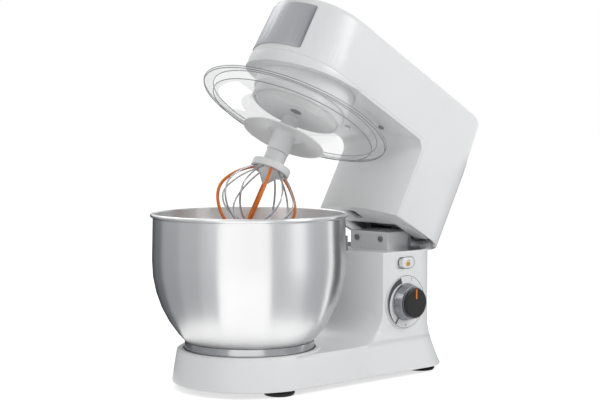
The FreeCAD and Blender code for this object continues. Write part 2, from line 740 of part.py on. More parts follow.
def add_bosses(part):
    """Posts for the cover's screws, hanging from the top of the base."""
    height = base_top_z - s.shell_wall / 2 - plate_top_z
    for x, y in boss_spots:
        pad(part, "XY_Plane", plate_top_z, height, circle(x, y, s.boss_radius))
    for x, y in boss_spots:
        cut(part, "XY_Plane", plate_top_z, s.screw_length, circle(x, y, screw_bore))


def cut_side_openings(part):
    """Holes in the near side for the knob's shaft and the lock."""
    inner_y = s.column_half - s.shell_wall
    cut(part, "XZ_Plane", inner_y, s.shell_wall, circle(s.dial_x, s.dial_z, s.knob_hole_radius))
    half = s.pocket_width / 2 + s.pocket_wall + s.seat_gap
    reach = s.pocket_length / 2 - s.pocket_width / 2
    cut(part, "XZ_Plane", inner_y, s.shell_wall, oval(s.lock_x - reach, s.lock_x + reach, s.lock_z, half))


def make_base_plate():
    part = new_body("base_plate")
    inset = s.shell_wall + s.base_plate_thickness * tangent(s.base_draft) + s.seat_gap
    holes = [circle(x, y, screw_bore) for x, y in boss_spots]
    pad(part, "XY_Plane", s.foot_height, s.base_plate_thickness,
        bullet(0, s.base_radius - inset, base_rear_x - inset, base_corner - inset), *holes)
    keep(part, "base_plate", stand_frame)


def make_rubber_feet():
    feet = []
    for x, y in ((s.front_foot_x, s.front_foot_y), (s.rear_foot_x, s.rear_foot_y)):
        for side, place in both_sides(y):
            feet.append(cylinder(f"foot_{side}", s.foot_radius, s.foot_height, x, place, 0))
    group("rubber_feet", feet, stand_frame)


def make_base_screws():
    length = s.base_plate_thickness + s.screw_length - s.seat_gap
    screws = [screw("base_screw", length, x, y, s.foot_height) for x, y in boss_spots]
    group("base_screws", screws, stand_frame)


def make_bowl_seat():
    part = new_body("bowl_seat")
    inner, outer = seat_radius, seat_radius + s.seat_wall
    bottom = seat_floor_z - s.seat_floor
    lip_z = base_top_z + s.seat_lip_height
    turned(part, "Revolution", outline(
        (0, bottom), (outer, bottom), (outer, base_top_z), (outer + s.seat_lip, base_top_z),
        (outer + s.seat_lip, lip_z), (inner, lip_z), (inner, seat_floor_z), (0, seat_floor_z)))
    tab = pad(part, "XY_Plane", bayonet_top_z + s.moving_gap, s.bayonet_height, sector(
        bowl_foot_radius + s.moving_gap, inner + s.seat_wall / 2, as_size(0), s.bayonet_half_angle))
    repeat_round(part, tab, 3)
    keep(part, "bowl_seat", stand_frame)


def make_dial_ring():
    turned_piece("dial_ring", dial_frame, *ring_section(s.knob_hole_radius, s.dial_radius, 0, s.dial_thickness))


def make_speed_switch():
    part = new_body("speed_switch")
    half = s.switch_width / 2
    pad(part, "XY_Plane", -s.shell_wall - s.switch_depth, s.switch_depth,
        rectangle(-half, half, -half, half), circle(0, 0, s.knob_shaft_radius + s.running_gap))
    keep(part, "speed_switch", dial_frame)


def make_control_board():
    part = new_body("control_board")
    half_width, half_height = s.board_width / 2, s.board_height / 2
    pad(part, "XY_Plane", -s.shell_wall - s.switch_depth - s.board_thickness, s.board_thickness,
        rectangle(-half_width, half_width, -half_height, half_height))
    keep(part, "control_board", dial_frame)


def make_cord_gland():
    turned_piece(
        "cord_gland", gland_frame,
        (s.cord_radius, -s.gland_depth), (s.gland_radius, -s.gland_depth), (s.gland_radius, 0),
        (s.gland_flange_radius, 0), (s.gland_flange_radius, s.gland_flange), (s.cord_radius, s.gland_flange))


# Hinge

def make_hinge_tower():
    part = new_body("hinge_tower")
    wall, half = s.shell_wall, s.tower_half
    inset = wall + s.seat_gap
    front, deck_half = s.column_front_x + inset, s.column_half - inset
    rear = s.column_rear_x - inset
    swell = swell_radius(deck_half, s.column_bulge)
    height = s.tower_top_z - deck_bottom_z
    pad(part, "XY_Plane", deck_bottom_z, wall, outline(
        (front, -deck_half, swell), (s.deck_rear_x, -deck_half), (s.deck_rear_x, deck_half),
        (front, deck_half), (front - s.column_bulge, 0, swell)))
    pad(part, "XY_Plane", deck_bottom_z, height, rectangle(s.tower_front_x, rear, -half, half))
    for level in (-half, half - wall):
        pad(part, "XZ_Plane", level, wall, rectangle(s.tower_cheek_x, rear, s.tower_cheek_z, deck_top_z))
    inner = half - wall
    cut(part, "XY_Plane", deck_bottom_z, height - wall,
        rectangle(s.tower_front_x + wall, rear - wall, -inner, inner))
    cut(part, "XZ_Plane", -half, 2 * half, circle(s.hinge_x, s.hinge_z, s.pin_radius + s.running_gap))
    cut_deck_slot(part)
    holes = [circle(y, s.tower_screw_z, screw_bore) for _, y in both_sides(s.tower_screw_y)]
    cut(part, "YZ_Plane", s.tower_front_x, wall, *holes)
    keep(part, "hinge_tower", stand_frame)


def cut_deck_slot(part):
    """The slot in the deck that the latch hook slides in."""
    half = s.hook_depth / 2 + s.hook_play
    side = s.bar_width / 2 + s.hook_play
    cut(part, "XY_Plane", deck_bottom_z, s.shell_wall, rectangle(
        s.hook_x - half - s.lock_travel, s.hook_x + half, s.hook_y - side, s.hook_y + side))


def make_tower_screws():
    length = s.shell_wall + s.bracket_thickness
    facing = moved(axis=Y_AXIS, angle=90)
    spots = [y for _, y in both_sides(s.tower_screw_y)]
    screws = [screw("tower_screw", length, s.tower_front_x, y, s.tower_screw_z, facing) for y in spots]
    group("tower_screws", screws, stand_frame)


def make_hinge_bracket(side, sign):
    """A steel plate inside the tower that holds the pin, with a flange for the front screw."""
    part = new_body(f"hinge_bracket_{side}")
    thick = s.bracket_thickness
    front, rear = s.tower_front_x + s.shell_wall, s.hinge_x + s.bracket_rear
    top = s.tower_top_z - s.shell_wall
    level = -bracket_outer_y if sign > 0 else bracket_outer_y - thick
    pad(part, "XZ_Plane", level, thick, outline(
        (s.tower_cheek_x, s.bracket_bottom_z), (rear, s.bracket_bottom_z), (rear, deck_top_z),
        (s.hinge_x, top), (front, top), (front, deck_top_z)))
    near, far = bracket_outer_y - s.bracket_flange, bracket_outer_y
    low_y, high_y = (near, far) if sign > 0 else (-far, -near)
    pad(part, "YZ_Plane", front, thick, rectangle(low_y, high_y, deck_top_z, top))
    cut(part, "XZ_Plane", level, thick, circle(s.hinge_x, s.hinge_z, s.pin_radius + s.running_gap))
    cut(part, "YZ_Plane", front, thick, circle(sign * s.tower_screw_y, s.tower_screw_z, screw_bore))
    keep(part, f"hinge_bracket_{side}", stand_frame)


def make_hinge_pin():
    turned_piece("hinge_pin", hinge_frame * sideways, *ring_section(0, s.pin_radius, -pin_half, pin_half))


def make_hinge_arm(side, sign):
    """A steel plate from the pin up to the chassis, drawn about the pin."""
    part = new_body(f"hinge_arm_{side}")
    thick, eye = s.arm_thickness, s.arm_eye
    level = -arm_outer_y if sign > 0 else arm_inner_y
    top = chassis_z - s.hinge_z
    pad(part, "XZ_Plane", level, thick, circle(0, 0, eye))
    pad(part, "XZ_Plane", level, thick, outline(
        (-eye * 0.9, 0), (0, -eye / 2), (eye / 2, eye / 2), (-s.arm_waist, s.arm_waist_z),
        (s.arm_rear, s.arm_spread_z), (s.arm_rear, top), (-s.arm_front, top), (-s.arm_front, s.arm_spread_z)))
    cut(part, "XZ_Plane", level, thick, circle(0, 0, bush_radius + s.running_gap))
    keep(part, f"hinge_arm_{side}", arm_frame)


def make_hinge_bush(side, sign):
    low, high = (-arm_outer_y, -arm_inner_y) if sign > 0 else (arm_inner_y, arm_outer_y)
    section = ring_section(s.pin_radius + s.running_gap, bush_radius, low, high)
    turned_piece(f"hinge_bush_{side}", arm_frame * sideways, *section)


# Head lock

def make_lock_bezel():
    part = new_body("lock_bezel")
    wall, depth = s.pocket_wall, s.pocket_depth
    half = s.pocket_width / 2
    reach = s.pocket_length / 2 - half
    pad(part, "XY_Plane", -depth, depth + s.moving_gap, oval(-reach, reach, 0, half + wall))
    cut(part, "XY_Plane", wall - depth, depth, oval(-reach, reach, 0, half))
    stem = s.stem_width / 2 + s.moving_gap
    cut(part, "XY_Plane", -depth, wall, rectangle(
        button_shift - stem - s.lock_travel, button_shift + stem, -stem, stem))
    keep(part, "lock_bezel", lock_frame)


def make_lock_button():
    part = new_body("lock_button")
    half = s.pocket_width / 2 - s.button_play
    reach = s.button_length / 2 - half
    floor = s.pocket_wall - s.pocket_depth + s.moving_gap
    pad(part, "XY_Plane", floor, -floor, oval(button_shift - reach, button_shift + reach, 0, half))
    stem = s.stem_width / 2
    stem_end = -s.pocket_depth - s.stem_length
    pad(part, "XY_Plane", stem_end, floor - stem_end, rectangle(
        button_shift - stem, button_shift + stem, -stem, stem))
    keep(part, "lock_button", lock_frame)


def make_lock_bar():
    """A flat bar from the button's stem across to the hook."""
    part = new_body("lock_bar")
    half = s.bar_width / 2
    start = s.pocket_depth + s.stem_length - s.column_half
    pad(part, "XY_Plane", s.lock_z - s.bar_thickness / 2, s.bar_thickness, outline(
        (bar_x - half, start), (bar_x + half, start), (bar_x + half, s.hook_y + half),
        (s.hook_x - half, s.hook_y + half), (s.hook_x - half, s.hook_y - half),
        (bar_x - half, s.hook_y - half)))
    keep(part, "lock_bar", stand_frame)


def make_latch_hook():
    part = new_body("latch_hook")
    front, rear = s.hook_x - s.hook_depth / 2, s.hook_x + s.hook_depth / 2
    bottom, top = s.lock_z + s.bar_thickness / 2, s.hook_top_z
    nose_x, nose_z = front - s.hook_nose, top - s.hook_head
    pad(part, "XZ_Plane", -s.hook_y - s.bar_width / 2, s.bar_width, outline(
        (front, bottom), (rear, bottom), (rear, top), (front, top),
        (nose_x, nose_z + s.hook_head / 3), (nose_x, nose_z), (front, nose_z)))
    keep(part, "latch_hook", stand_frame)


# Speed knob

def make_knob():
    bore = s.knob_shaft_radius + s.running_gap
    turned_piece(
        "knob_skirt", dial_frame,
        (bore, skirt_z), (s.skirt_radius, skirt_z), (s.skirt_top_radius, face_z), (bore, face_z))
    turned_piece("knob_shaft", dial_frame, *ring_section(0, s.knob_shaft_radius, -s.switch_depth, face_z))
    top, edge = face_z + s.face_height, s.face_round
    turned_piece(
        "knob_face", dial_frame,
        (0, face_z), (s.face_radius, face_z), (s.face_radius, top - edge),
        (s.face_radius - edge, top, edge), (0, top))
    pointer = new_body("knob_pointer")
    half = s.pointer_width / 2
    pad(pointer, "XY_Plane", top, s.pointer_height, rectangle(-half, half, s.pointer_inner, s.pointer_outer))
    keep(pointer, "knob_pointer", dial_frame)


# Bowl

def make_bowl_shell():
    wall, shoulder_z = s.bowl_wall, s.bowl_shoulder_z
    turned_piece(
        "bowl_shell", stand_frame,
        (0, s.bowl_bottom_z), (bowl_bottom_radius, s.bowl_bottom_z), (s.bowl_radius, shoulder_z, s.bowl_curve),
        (bowl_neck_radius, s.rim_z - s.rim_height), (s.rim_radius, s.rim_z - s.rim_height),
        (s.rim_radius, s.rim_z), (bowl_neck_radius - wall, s.rim_z), (s.bowl_radius - wall, shoulder_z),
        (bowl_bottom_radius - wall / 2, s.bowl_bottom_z + wall, wall - s.bowl_curve),
        (0, s.bowl_bottom_z + wall))


def make_bowl_foot():
    part = new_body("bowl_foot")
    outer = bowl_foot_radius
    turned(part, "Revolution", outline(
        (outer - s.bowl_foot_wall, bowl_foot_z), (outer, bowl_foot_z),
        (outer, bowl_foot_edge_z - s.bowl_foot_gap), (bowl_bottom_radius, s.bowl_bottom_z),
        (outer - s.bowl_foot_wall, s.bowl_bottom_z)))
    tab = pad(part, "XY_Plane", bowl_foot_z, s.bayonet_height, sector(
        outer - s.bowl_foot_wall / 2, seat_radius - s.moving_gap, as_size(0), s.bayonet_half_angle))
    repeat_round(part, tab, 3)
    keep(part, "bowl_foot", stand_frame)


# Head shells

def make_head_upper_shell():
    part = new_body("head_upper_shell")
    wall, half, rear, corner = s.shell_wall, s.head_half, s.head_rear_x, s.head_corner
    height = s.head_top_z - s.seam_z
    neck_height = s.seam_z - s.neck_bottom_z
    crown = pad(part, "XY_Plane", s.seam_z, height, bullet(s.nose_x, half, rear, corner), taper=s.head_draft)
    round_edges(part, crown, s.head_round, s.head_top_z)
    pad(part, "XY_Plane", s.neck_bottom_z, neck_height, rounded_rear(s.neck_front_x + wall, half, rear, corner))
    cut(part, "XY_Plane", s.seam_z, height - wall,
        bullet(s.nose_x, half - wall, rear - wall, corner - wall), taper=s.head_draft)
    cut(part, "XY_Plane", s.neck_bottom_z, neck_height,
        rounded_rear(s.neck_front_x, half - wall, rear - wall, corner - wall))
    keep(part, "head_upper_shell", head_frame)


def make_head_lower_shell():
    part = new_body("head_lower_shell")
    half, front = s.head_half, s.neck_front_x + s.shell_wall
    add_chin(part)
    pad(part, "XY_Plane", belly_z, s.belly_thickness, outline(
        (s.nose_x, -half, half), (front, -half), (front, half), (s.nose_x, half), (s.nose_x - half, 0, half)),
        circle(0, 0, s.drum_radius + s.seat_gap))
    add_neck_front(part)
    holes = [circle(x, y, screw_bore) for x, y in belly_screws]
    cut(part, "XY_Plane", belly_z, s.belly_thickness, *holes)
    keep(part, "head_lower_shell", head_frame)


def add_chin(part):
    """A crescent under the nose that runs out along the sides."""
    radius, rear = s.head_half + s.chin_reach, s.chin_rear_x
    bottom = s.seam_z - s.chin_height
    pad(part, "XY_Plane", bottom, s.chin_height, outline(
        (s.nose_x, -radius, radius), (rear, -radius), (rear, radius), (s.nose_x, radius),
        (s.nose_x - radius, 0, radius)))
    cut(part, "XY_Plane", bottom, s.chin_height, circle(0, 0, s.chin_hollow))
    tip = s.nose_x - radius - s.chin_reach
    cut(part, "XZ_Plane", -radius - s.chin_reach, 2 * (radius + s.chin_reach), outline(
        (tip, bottom), (tip, bottom - s.chin_height), (rear + s.chin_reach, bottom - s.chin_height),
        (rear + s.chin_reach, s.seam_z - s.belly_thickness / 2)))


def add_neck_front(part):
    """The neck's swelling front wall, its curve up to the belly, and its floor."""
    wall, half, bulge, blend = s.shell_wall, s.head_half, s.neck_bulge, s.neck_blend
    front = s.neck_front_x
    pad(part, "XY_Plane", s.neck_bottom_z, belly_z - s.neck_bottom_z, outline(
        (front, -half, neck_swell), (front + wall, -half), (front + wall - bulge, 0, -neck_swell),
        (front + wall, half, -neck_swell), (front, half), (front - bulge, 0, neck_swell)))
    inside = wall / 2 - neck_swell
    turned(part, "Revolution", outline(
        (inside, belly_z + wall / 2), (-neck_swell - blend, belly_z + wall / 2), (-neck_swell - blend, belly_z),
        (-neck_swell, belly_z - blend, -blend), (inside, belly_z - blend)),
        shift=neck_middle_x + neck_swell, angle=60)
    low_x = neck_middle_x - blend - wall
    for level in (half, -2 * half):
        cut(part, "XZ_Plane", level, half, rectangle(low_x, front + 2 * blend, s.neck_bottom_z, s.seam_z))
    floor_half = half - wall - s.seat_gap
    swell = swell_radius(floor_half, bulge)
    inner_front = front + wall / 3
    side = s.bar_width / 2 + s.latch_slot_side
    pad(part, "XY_Plane", s.neck_bottom_z, wall, outline(
        (inner_front, -floor_half, swell), (s.neck_floor_rear_x, -floor_half), (s.neck_floor_rear_x, floor_half),
        (inner_front, floor_half), (inner_front - bulge, 0, swell)),
        rectangle(s.hook_x - s.latch_slot_front, s.hook_x + s.latch_slot_rear, s.hook_y - side, s.hook_y + side))


def make_front_trim():
    part = new_body("front_trim")
    low, high, thick = s.trim_bottom_z, s.trim_top_z, s.trim_thickness
    low_radius = s.head_half + s.seat_gap - (low - s.seam_z) * tangent(s.head_draft)
    high_radius = s.head_half + s.seat_gap - (high - s.seam_z) * tangent(s.head_draft)
    turned(part, "Revolution", outline(
        (-low_radius, low), (-high_radius, high), (-high_radius - thick, high), (-low_radius - thick, low)),
        angle=2 * s.trim_half_angle)
    keep(part, "front_trim", nose_frame)


def make_head_screws():
    length = s.belly_thickness + s.flange_height + s.chassis_thickness
    group("head_screws", [screw("head_screw", length, x, y, belly_z) for x, y in belly_screws], head_frame)


# Gearbox and drive

def make_gearbox_housing():
    hub, bore = drive_bush_radius + s.hub_wall, drive_bush_radius + s.running_gap
    roof_z = chassis_z - s.drum_roof
    turned_piece(
        "gearbox_housing", head_frame,
        (drum_inner, s.drum_bottom_z), (s.drum_radius, s.drum_bottom_z), (s.drum_radius, s.seam_z),
        (s.flange_radius, s.seam_z), (s.flange_radius, chassis_z), (hub, chassis_z), (hub, s.hub_top_z),
        (bore, s.hub_top_z), (bore, s.hub_bottom_z), (hub, s.hub_bottom_z), (hub, roof_z), (drum_inner, roof_z))


def make_carrier_bushes():
    inner, length = s.drive_shaft_radius + s.running_gap, s.drive_bush_length
    starts = (s.hub_bottom_z, s.hub_top_z - length)
    bushes = [turned_body("bush", *ring_section(inner, drive_bush_radius, z, z + length)) for z in starts]
    group("carrier_bushes", bushes, head_frame)


def make_head_chassis():
    part = new_body("head_chassis")
    half = s.chassis_half
    pad(part, "XY_Plane", chassis_z, s.chassis_thickness,
        rectangle(s.chassis_front_x, s.chassis_rear_x, -half, half),
        circle(0, 0, drive_bush_radius + s.hub_wall + s.seat_gap), circle(s.motor_x, 0, s.motor_shaft_hole))
    for x, y in belly_screws:
        pad(part, "XY_Plane", s.seam_z, s.flange_height, circle(x, y, s.boss_radius))
    holes = [circle(x, y, screw_bore) for x, y in belly_screws]
    cut(part, "XY_Plane", s.seam_z, s.flange_height + s.chassis_thickness, *holes)
    keep(part, "head_chassis", head_frame)


def gear_points(teeth, low, high, play):
    """Corners of straight-sided teeth whose flanks follow an involute at three radii."""
    module, pressure = s.gear_module.value, math.radians(s.pressure_angle.value)
    pitch = module * teeth / 2
    base = pitch * math.cos(pressure)

    def involute(radius):
        angle = math.acos(min(base / radius, 1))
        return math.tan(angle) - angle

    def half_width(radius):
        return math.pi / (2 * teeth) + involute(pitch) - involute(radius) - play / (2 * pitch)

    flank = [(-half_width(radius), radius) for radius in (low, pitch, high)]
    flank += [(half_width(radius), radius) for radius in (high, pitch, low)]
    points = []
    for tooth in range(teeth):
        middle = 2 * math.pi * tooth / teeth
        for angle, radius in flank:
            points.append(Vector(radius * math.cos(middle + angle), radius * math.sin(middle + angle), s.gear_z.value))
    return points + points[:1]


def make_gear(label, frame, teeth, low, high, play, edge_radius, frame_is_outside):
    """A gear whose second edge is a plain circle, outside the teeth or as a bore."""
    toothed = Part.makePolygon(gear_points(teeth, low, high, play))
    plain = Part.Wire(Part.makeCircle(edge_radius, Vector(0, 0, s.gear_z.value)))
    outer, inner = (plain, toothed) if frame_is_outside else (toothed, plain)
    face = Part.Face(outer).cut(Part.Face(inner))
    item = doc.addObject("Part::Feature", label)
    item.Shape = face.extrude(Vector(0, 0, s.gear_width.value)).Solids[0]
    keep(item, label, frame)


def make_gears():
    ring, planet = ring_pitch.value, planet_pitch.value
    tip, foot, play = s.addendum.value, s.dedendum.value, s.tooth_play.value
    make_gear("ring_gear", carrier_frame, int(s.ring_teeth.value), ring - tip, ring + foot, -play,
              (drum_inner - s.seat_gap / 2).value, True)
    make_gear("planet_gear", beater_frame, int(s.planet_teeth.value), planet - foot, planet + tip, play,
              beater_bore.value, False)


def make_planet_carrier():
    part = new_body("planet_carrier")
    boss_height = s.gear_z - s.moving_gap - s.carrier_boss_z
    pad(part, "XY_Plane", s.carrier_bottom_z, s.carrier_height, circle(0, 0, s.carrier_radius))
    pad(part, "XY_Plane", s.carrier_boss_z, boss_height, circle(eccentricity, 0, s.carrier_boss_radius))
    cut(part, "XY_Plane", s.carrier_bottom_z, s.carrier_height, circle(0, 0, drive_bore))
    cut(part, "XY_Plane", s.carrier_boss_z, boss_height, circle(eccentricity, 0, beater_bore))
    keep(part, "planet_carrier", carrier_frame)


def make_carrier_drive():
    top = pulley_top_z + s.shaft_end
    turned_piece("carrier_shaft", carrier_frame, *ring_section(0, s.drive_shaft_radius, s.carrier_bottom_z, top))
    turned_piece("large_pulley", carrier_frame, *ring_section(drive_bore, s.pulley_radius, s.pulley_z, pulley_top_z))


def belt_outline(large, small):
    """A closed run round both pulleys."""
    lean = (large - small) / s.motor_x
    side = root(1 - lean * lean)
    far = s.motor_x + small * lean
    return outline(
        (large * lean, -large * side, large), (far, -small * side), (s.motor_x + small, 0, small),
        (far, small * side, small), (large * lean, large * side), (-large, 0, large))


def make_drive_belt():
    part = new_body("drive_belt")
    large, small = s.pulley_radius + s.moving_gap, motor_pulley_radius + s.moving_gap
    thick = s.belt_thickness
    bottom = s.pulley_z + (s.pulley_width - s.belt_width) / 2
    pad(part, "XY_Plane", bottom, s.belt_width, belt_outline(large + thick, small + thick), belt_outline(large, small))
    keep(part, "drive_belt", head_frame)


# Motor

def make_motor_frame():
    bore, width = s.motor_bearing_radius + s.running_gap, s.motor_bearing_width
    turned_piece(
        "motor_frame", motor_place,
        (bore, motor_bottom_z), (s.motor_radius, motor_bottom_z), (s.motor_radius, chassis_z), (bore, chassis_z),
        (bore, chassis_z - width), (s.field_bore, chassis_z - width), (s.field_bore, motor_bottom_z + width),
        (bore, motor_bottom_z + width))


def make_motor_bearings():
    width, outer = s.motor_bearing_width, s.motor_bearing_radius
    starts = (motor_bottom_z, chassis_z - width)
    bearings = [turned_body("bearing", *ring_section(motor_bore, outer, z, z + width)) for z in starts]
    group("motor_bearings", bearings, motor_place)


def make_brush_holders():
    reach, half = s.motor_radius + s.brush_reach, s.brush_width / 2
    bottom = motor_bottom_z + s.brush_z
    top = bottom + s.brush_width
    item = doc.addObject("Part::Cut", "brush_holders")
    item.Base = block("brush_block", (-reach, -half, bottom), (reach, half, top))
    item.Tool = cylinder("brush_gap", s.motor_radius, 2 * s.brush_width, 0, 0, bottom - half)
    keep(item, "brush_holders", motor_place)


def make_rotor():
    end = s.motor_bearing_width + s.armature_end
    turned_piece("motor_rotor", motor_place, *ring_section(
        motor_bore, s.field_bore - s.armature_gap, motor_bottom_z + end, chassis_z - end))
    turned_piece("motor_shaft", motor_place, *ring_section(
        0, s.motor_shaft_radius, fan_bottom_z - s.shaft_end / 3, pulley_top_z + s.shaft_end))
    turned_piece("motor_pulley", motor_place, *ring_section(
        motor_bore, motor_pulley_radius, s.pulley_z, pulley_top_z))


def make_motor_fan():
    part = new_body("motor_fan")
    disc_z, blade = fan_top_z - s.fan_disc, s.fan_disc / 2
    turned(part, "Revolution", outline(
        (motor_bore, fan_bottom_z), (s.fan_hub_radius, fan_bottom_z), (s.fan_hub_radius, disc_z),
        (s.fan_radius, disc_z), (s.fan_radius, fan_top_z), (motor_bore, fan_top_z)))
    vane = pad(part, "XY_Plane", fan_bottom_z, s.fan_height - blade, rectangle(
        s.fan_hub_radius - blade, s.fan_radius - blade, -blade, blade))
    repeat_round(part, vane, 9)
    keep(part, "motor_fan", motor_place)


# Beater

def make_beater_shaft():
    part = turned_body("beater_shaft", *ring_section(
        0, s.beater_shaft_radius, s.beater_shaft_z, s.gear_z + s.gear_width + s.running_gap))
    cut(part, "YZ_Plane", -s.beater_shaft_radius, 2 * s.beater_shaft_radius,
        circle(0, s.drive_pin_z, s.drive_pin_radius + s.running_gap))
    keep(part, "beater_shaft", beater_frame)


def make_drive_pin():
    half = s.drive_pin_half
    turned_piece("drive_pin", drive_pin_frame, *ring_section(0, s.drive_pin_radius, -half, half))


def make_drip_cap():
    rim, wall = s.cap_rim_z, s.cap_wall
    under = rim + s.cap_rise
    turned_piece(
        "drip_cap", beater_frame,
        (beater_bore, s.cap_sleeve_z), (s.cap_sleeve_radius, s.cap_sleeve_z), (s.cap_sleeve_radius, under),
        (s.cap_crown_radius, under), (s.cap_radius - wall, rim), (s.cap_radius, rim), (s.cap_radius, rim + wall),
        (s.cap_crown_radius, under + wall), (beater_bore, under + wall))


def make_whisk_hub():
    low, top = s.whisk_flange_z, whisk_flange_top_z
    socket = s.beater_shaft_z - s.moving_gap
    part = turned_body(
        "whisk_hub", (0, s.whisk_cone_z), (s.whisk_cone_radius, low), (s.whisk_flange_radius, low),
        (s.whisk_flange_radius, top), (s.whisk_hub_radius, top), (s.whisk_hub_radius, whisk_hub_z),
        (beater_bore, whisk_hub_z), (beater_bore, socket), (0, socket))
    half, side = s.drive_pin_half + s.seat_gap, s.drive_pin_radius + s.seat_gap
    bottom = s.drive_pin_z - side
    cut(part, "XY_Plane", bottom, whisk_hub_z - bottom, rectangle(-half, half, -side, side))
    keep(part, "whisk_hub", beater_frame)


def whisk_path(bottom, radius):
    """Centre line of one wire loop in the XZ plane, from the flange down and up again."""
    top, start = (s.whisk_flange_z - s.seat_gap).value - radius * s.wire_lean.value, s.wire_circle.value
    wide, belly = s.whisk_radius.value, s.whisk_belly_z.value
    side = [(start + (wide - start) * out, top - (top - belly) * down)
            for out, down in ((0, 0), (0.47, 0.3), (0.8, 0.62), (1, 1))]
    for degrees in (35, 65):
        angle = math.radians(degrees)
        side.append((wide * math.cos(angle), belly - (belly - bottom) * math.sin(angle)))
    across = [(-x, z) for x, z in reversed(side)]
    curve = Part.BSplineCurve()
    curve.interpolate([Vector(x, 0, z) for x, z in side + [(0, bottom)] + across])
    return curve


def wire_loop(bottom, radius, angle):
    curve = whisk_path(bottom, radius)
    section = Part.Wire(Part.makeCircle(radius, curve.value(0), curve.tangent(0)[0]))
    loop = Part.Wire(curve.toShape()).makePipeShell([section], True, True)
    loop.rotate(Vector(), UP, angle)
    return loop


def make_whisk_wires():
    coated, steel, gap = s.coated_wire_radius.value, s.wire_radius.value, s.wire_gap.value
    first = s.wire_angle.value - s.carrier_angle.value
    bottom = s.whisk_bottom_z.value + coated
    loops = {"coated_wires": [], "steel_wires": []}
    for turn in (0, 90):
        loops["coated_wires"].append(wire_loop(bottom, coated, first + turn))
        bottom += 2 * coated + gap
    bottom += steel - coated
    for turn in (30, 120, 60, 150):
        loops["steel_wires"].append(wire_loop(bottom, steel, first + turn))
        bottom += 2 * steel + gap
    for label, shapes in loops.items():
        item = doc.addObject("Part::Feature", label)
        item.Shape = Part.makeCompound(shapes)
        keep(item, label, beater_frame)


# Splash guard

def make_splash_guard():
    part = new_body("splash_guard")
    wall, top = s.guard_wall, s.guard_top_z
    inner = s.drum_radius + s.seat_gap / 2
    floor = top - s.guard_drop
    brim_inner = s.guard_radius - s.guard_brim
    step = brim_inner - s.guard_step
    turned(part, "Revolution", outline(
        (inner, floor - wall), (step + wall / 2, floor - wall), (brim_inner + wall / 2, top - wall),
        (s.guard_radius, top - wall), (s.guard_radius, top), (brim_inner - wall / 2, top),
        (step - wall / 2, floor), (inner + wall, floor), (inner + wall, s.guard_collar_z), (inner, s.guard_collar_z)))
    cut(part, "XY_Plane", floor - wall, wall, sector(s.feed_inner, s.feed_outer, s.feed_angle, s.feed_half_angle))
    keep(part, "splash_guard", head_frame)


def make_all():
    make_base_shell()
    make_base_plate()
    make_rubber_feet()
    make_base_screws()
    make_bowl_seat()
    make_dial_ring()
    make_speed_switch()
    make_control_board()
    make_cord_gland()
    make_hinge_tower()
    make_tower_screws()
    make_hinge_pin()
    for side, sign in (("left", 1), ("right", -1)):
        make_hinge_bracket(side, sign)
        make_hinge_arm(side, sign)
        make_hinge_bush(side, sign)
    make_lock_bezel()
    make_lock_button()
    make_lock_bar()
    make_latch_hook()
    make_knob()
    make_bowl_shell()
    make_bowl_foot()
    make_head_upper_shell()
    make_head_lower_shell()
    make_front_trim()
    make_head_screws()
    make_gearbox_housing()
    make_carrier_bushes()
    make_head_chassis()
    make_gears()
    make_planet_carrier()
    make_carrier_drive()
    make_drive_belt()
    make_motor_frame()
    make_motor_bearings()
    make_brush_holders()
    make_rotor()
    make_motor_fan()
    make_beater_shaft()
    make_drive_pin()
    make_drip_cap()
    make_whisk_hub()
    make_whisk_wires()
    make_splash_guard()


def write_pieces():
    """Puts every sub-part in its place, checks it and writes it."""
    doc.recompute()
    for item, frame in pieces:
        item.Placement = frame
    doc.recompute()
    for item in doc.Objects:
        if "Invalid" in item.State or "Error" in item.State:
            raise RuntimeError(f"{item.Name} did not build: {item.State}")
    os.makedirs("parts", exist_ok=True)
    for item, _ in pieces:
        if item.Shape.isNull() or not item.Shape.isValid():
            raise RuntimeError(f"{item.Label} has no valid shape")
        item.Shape.exportStep(f"parts/{item.Label}.step")


make_all()
write_pieces()
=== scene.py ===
"""Looks of a tilt-head stand mixer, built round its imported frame."""
import json
import math

import bmesh
import bpy
from bpy.props import FloatProperty, FloatVectorProperty, PointerProperty
from mathutils import Matrix, Vector
from mathutils.geometry import interpolate_bezier


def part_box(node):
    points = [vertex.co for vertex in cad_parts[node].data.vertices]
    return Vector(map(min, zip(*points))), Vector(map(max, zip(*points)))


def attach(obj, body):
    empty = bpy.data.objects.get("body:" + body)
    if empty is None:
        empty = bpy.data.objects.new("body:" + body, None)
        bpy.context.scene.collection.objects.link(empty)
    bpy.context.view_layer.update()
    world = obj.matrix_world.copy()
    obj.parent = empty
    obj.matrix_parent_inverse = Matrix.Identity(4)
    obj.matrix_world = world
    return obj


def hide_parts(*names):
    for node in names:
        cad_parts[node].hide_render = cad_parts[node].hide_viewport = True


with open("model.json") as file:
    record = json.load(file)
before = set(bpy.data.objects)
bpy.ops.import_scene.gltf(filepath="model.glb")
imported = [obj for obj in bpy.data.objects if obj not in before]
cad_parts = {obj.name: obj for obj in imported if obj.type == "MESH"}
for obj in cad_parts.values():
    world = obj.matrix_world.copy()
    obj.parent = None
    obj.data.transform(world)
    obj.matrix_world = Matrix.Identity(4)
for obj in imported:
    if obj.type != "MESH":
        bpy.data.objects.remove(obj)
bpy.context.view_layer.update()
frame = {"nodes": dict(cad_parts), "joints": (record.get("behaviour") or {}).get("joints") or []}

bl_info = {
    "name": "Stand mixer looks",
    "version": (1, 0, 0),
    "blender": (4, 5, 0),
    "location": "View3D > Sidebar > Mixer",
    "description": "Dresses the packed stand mixer with smooth pieces, materials and a studio",
    "category": "Object",
}

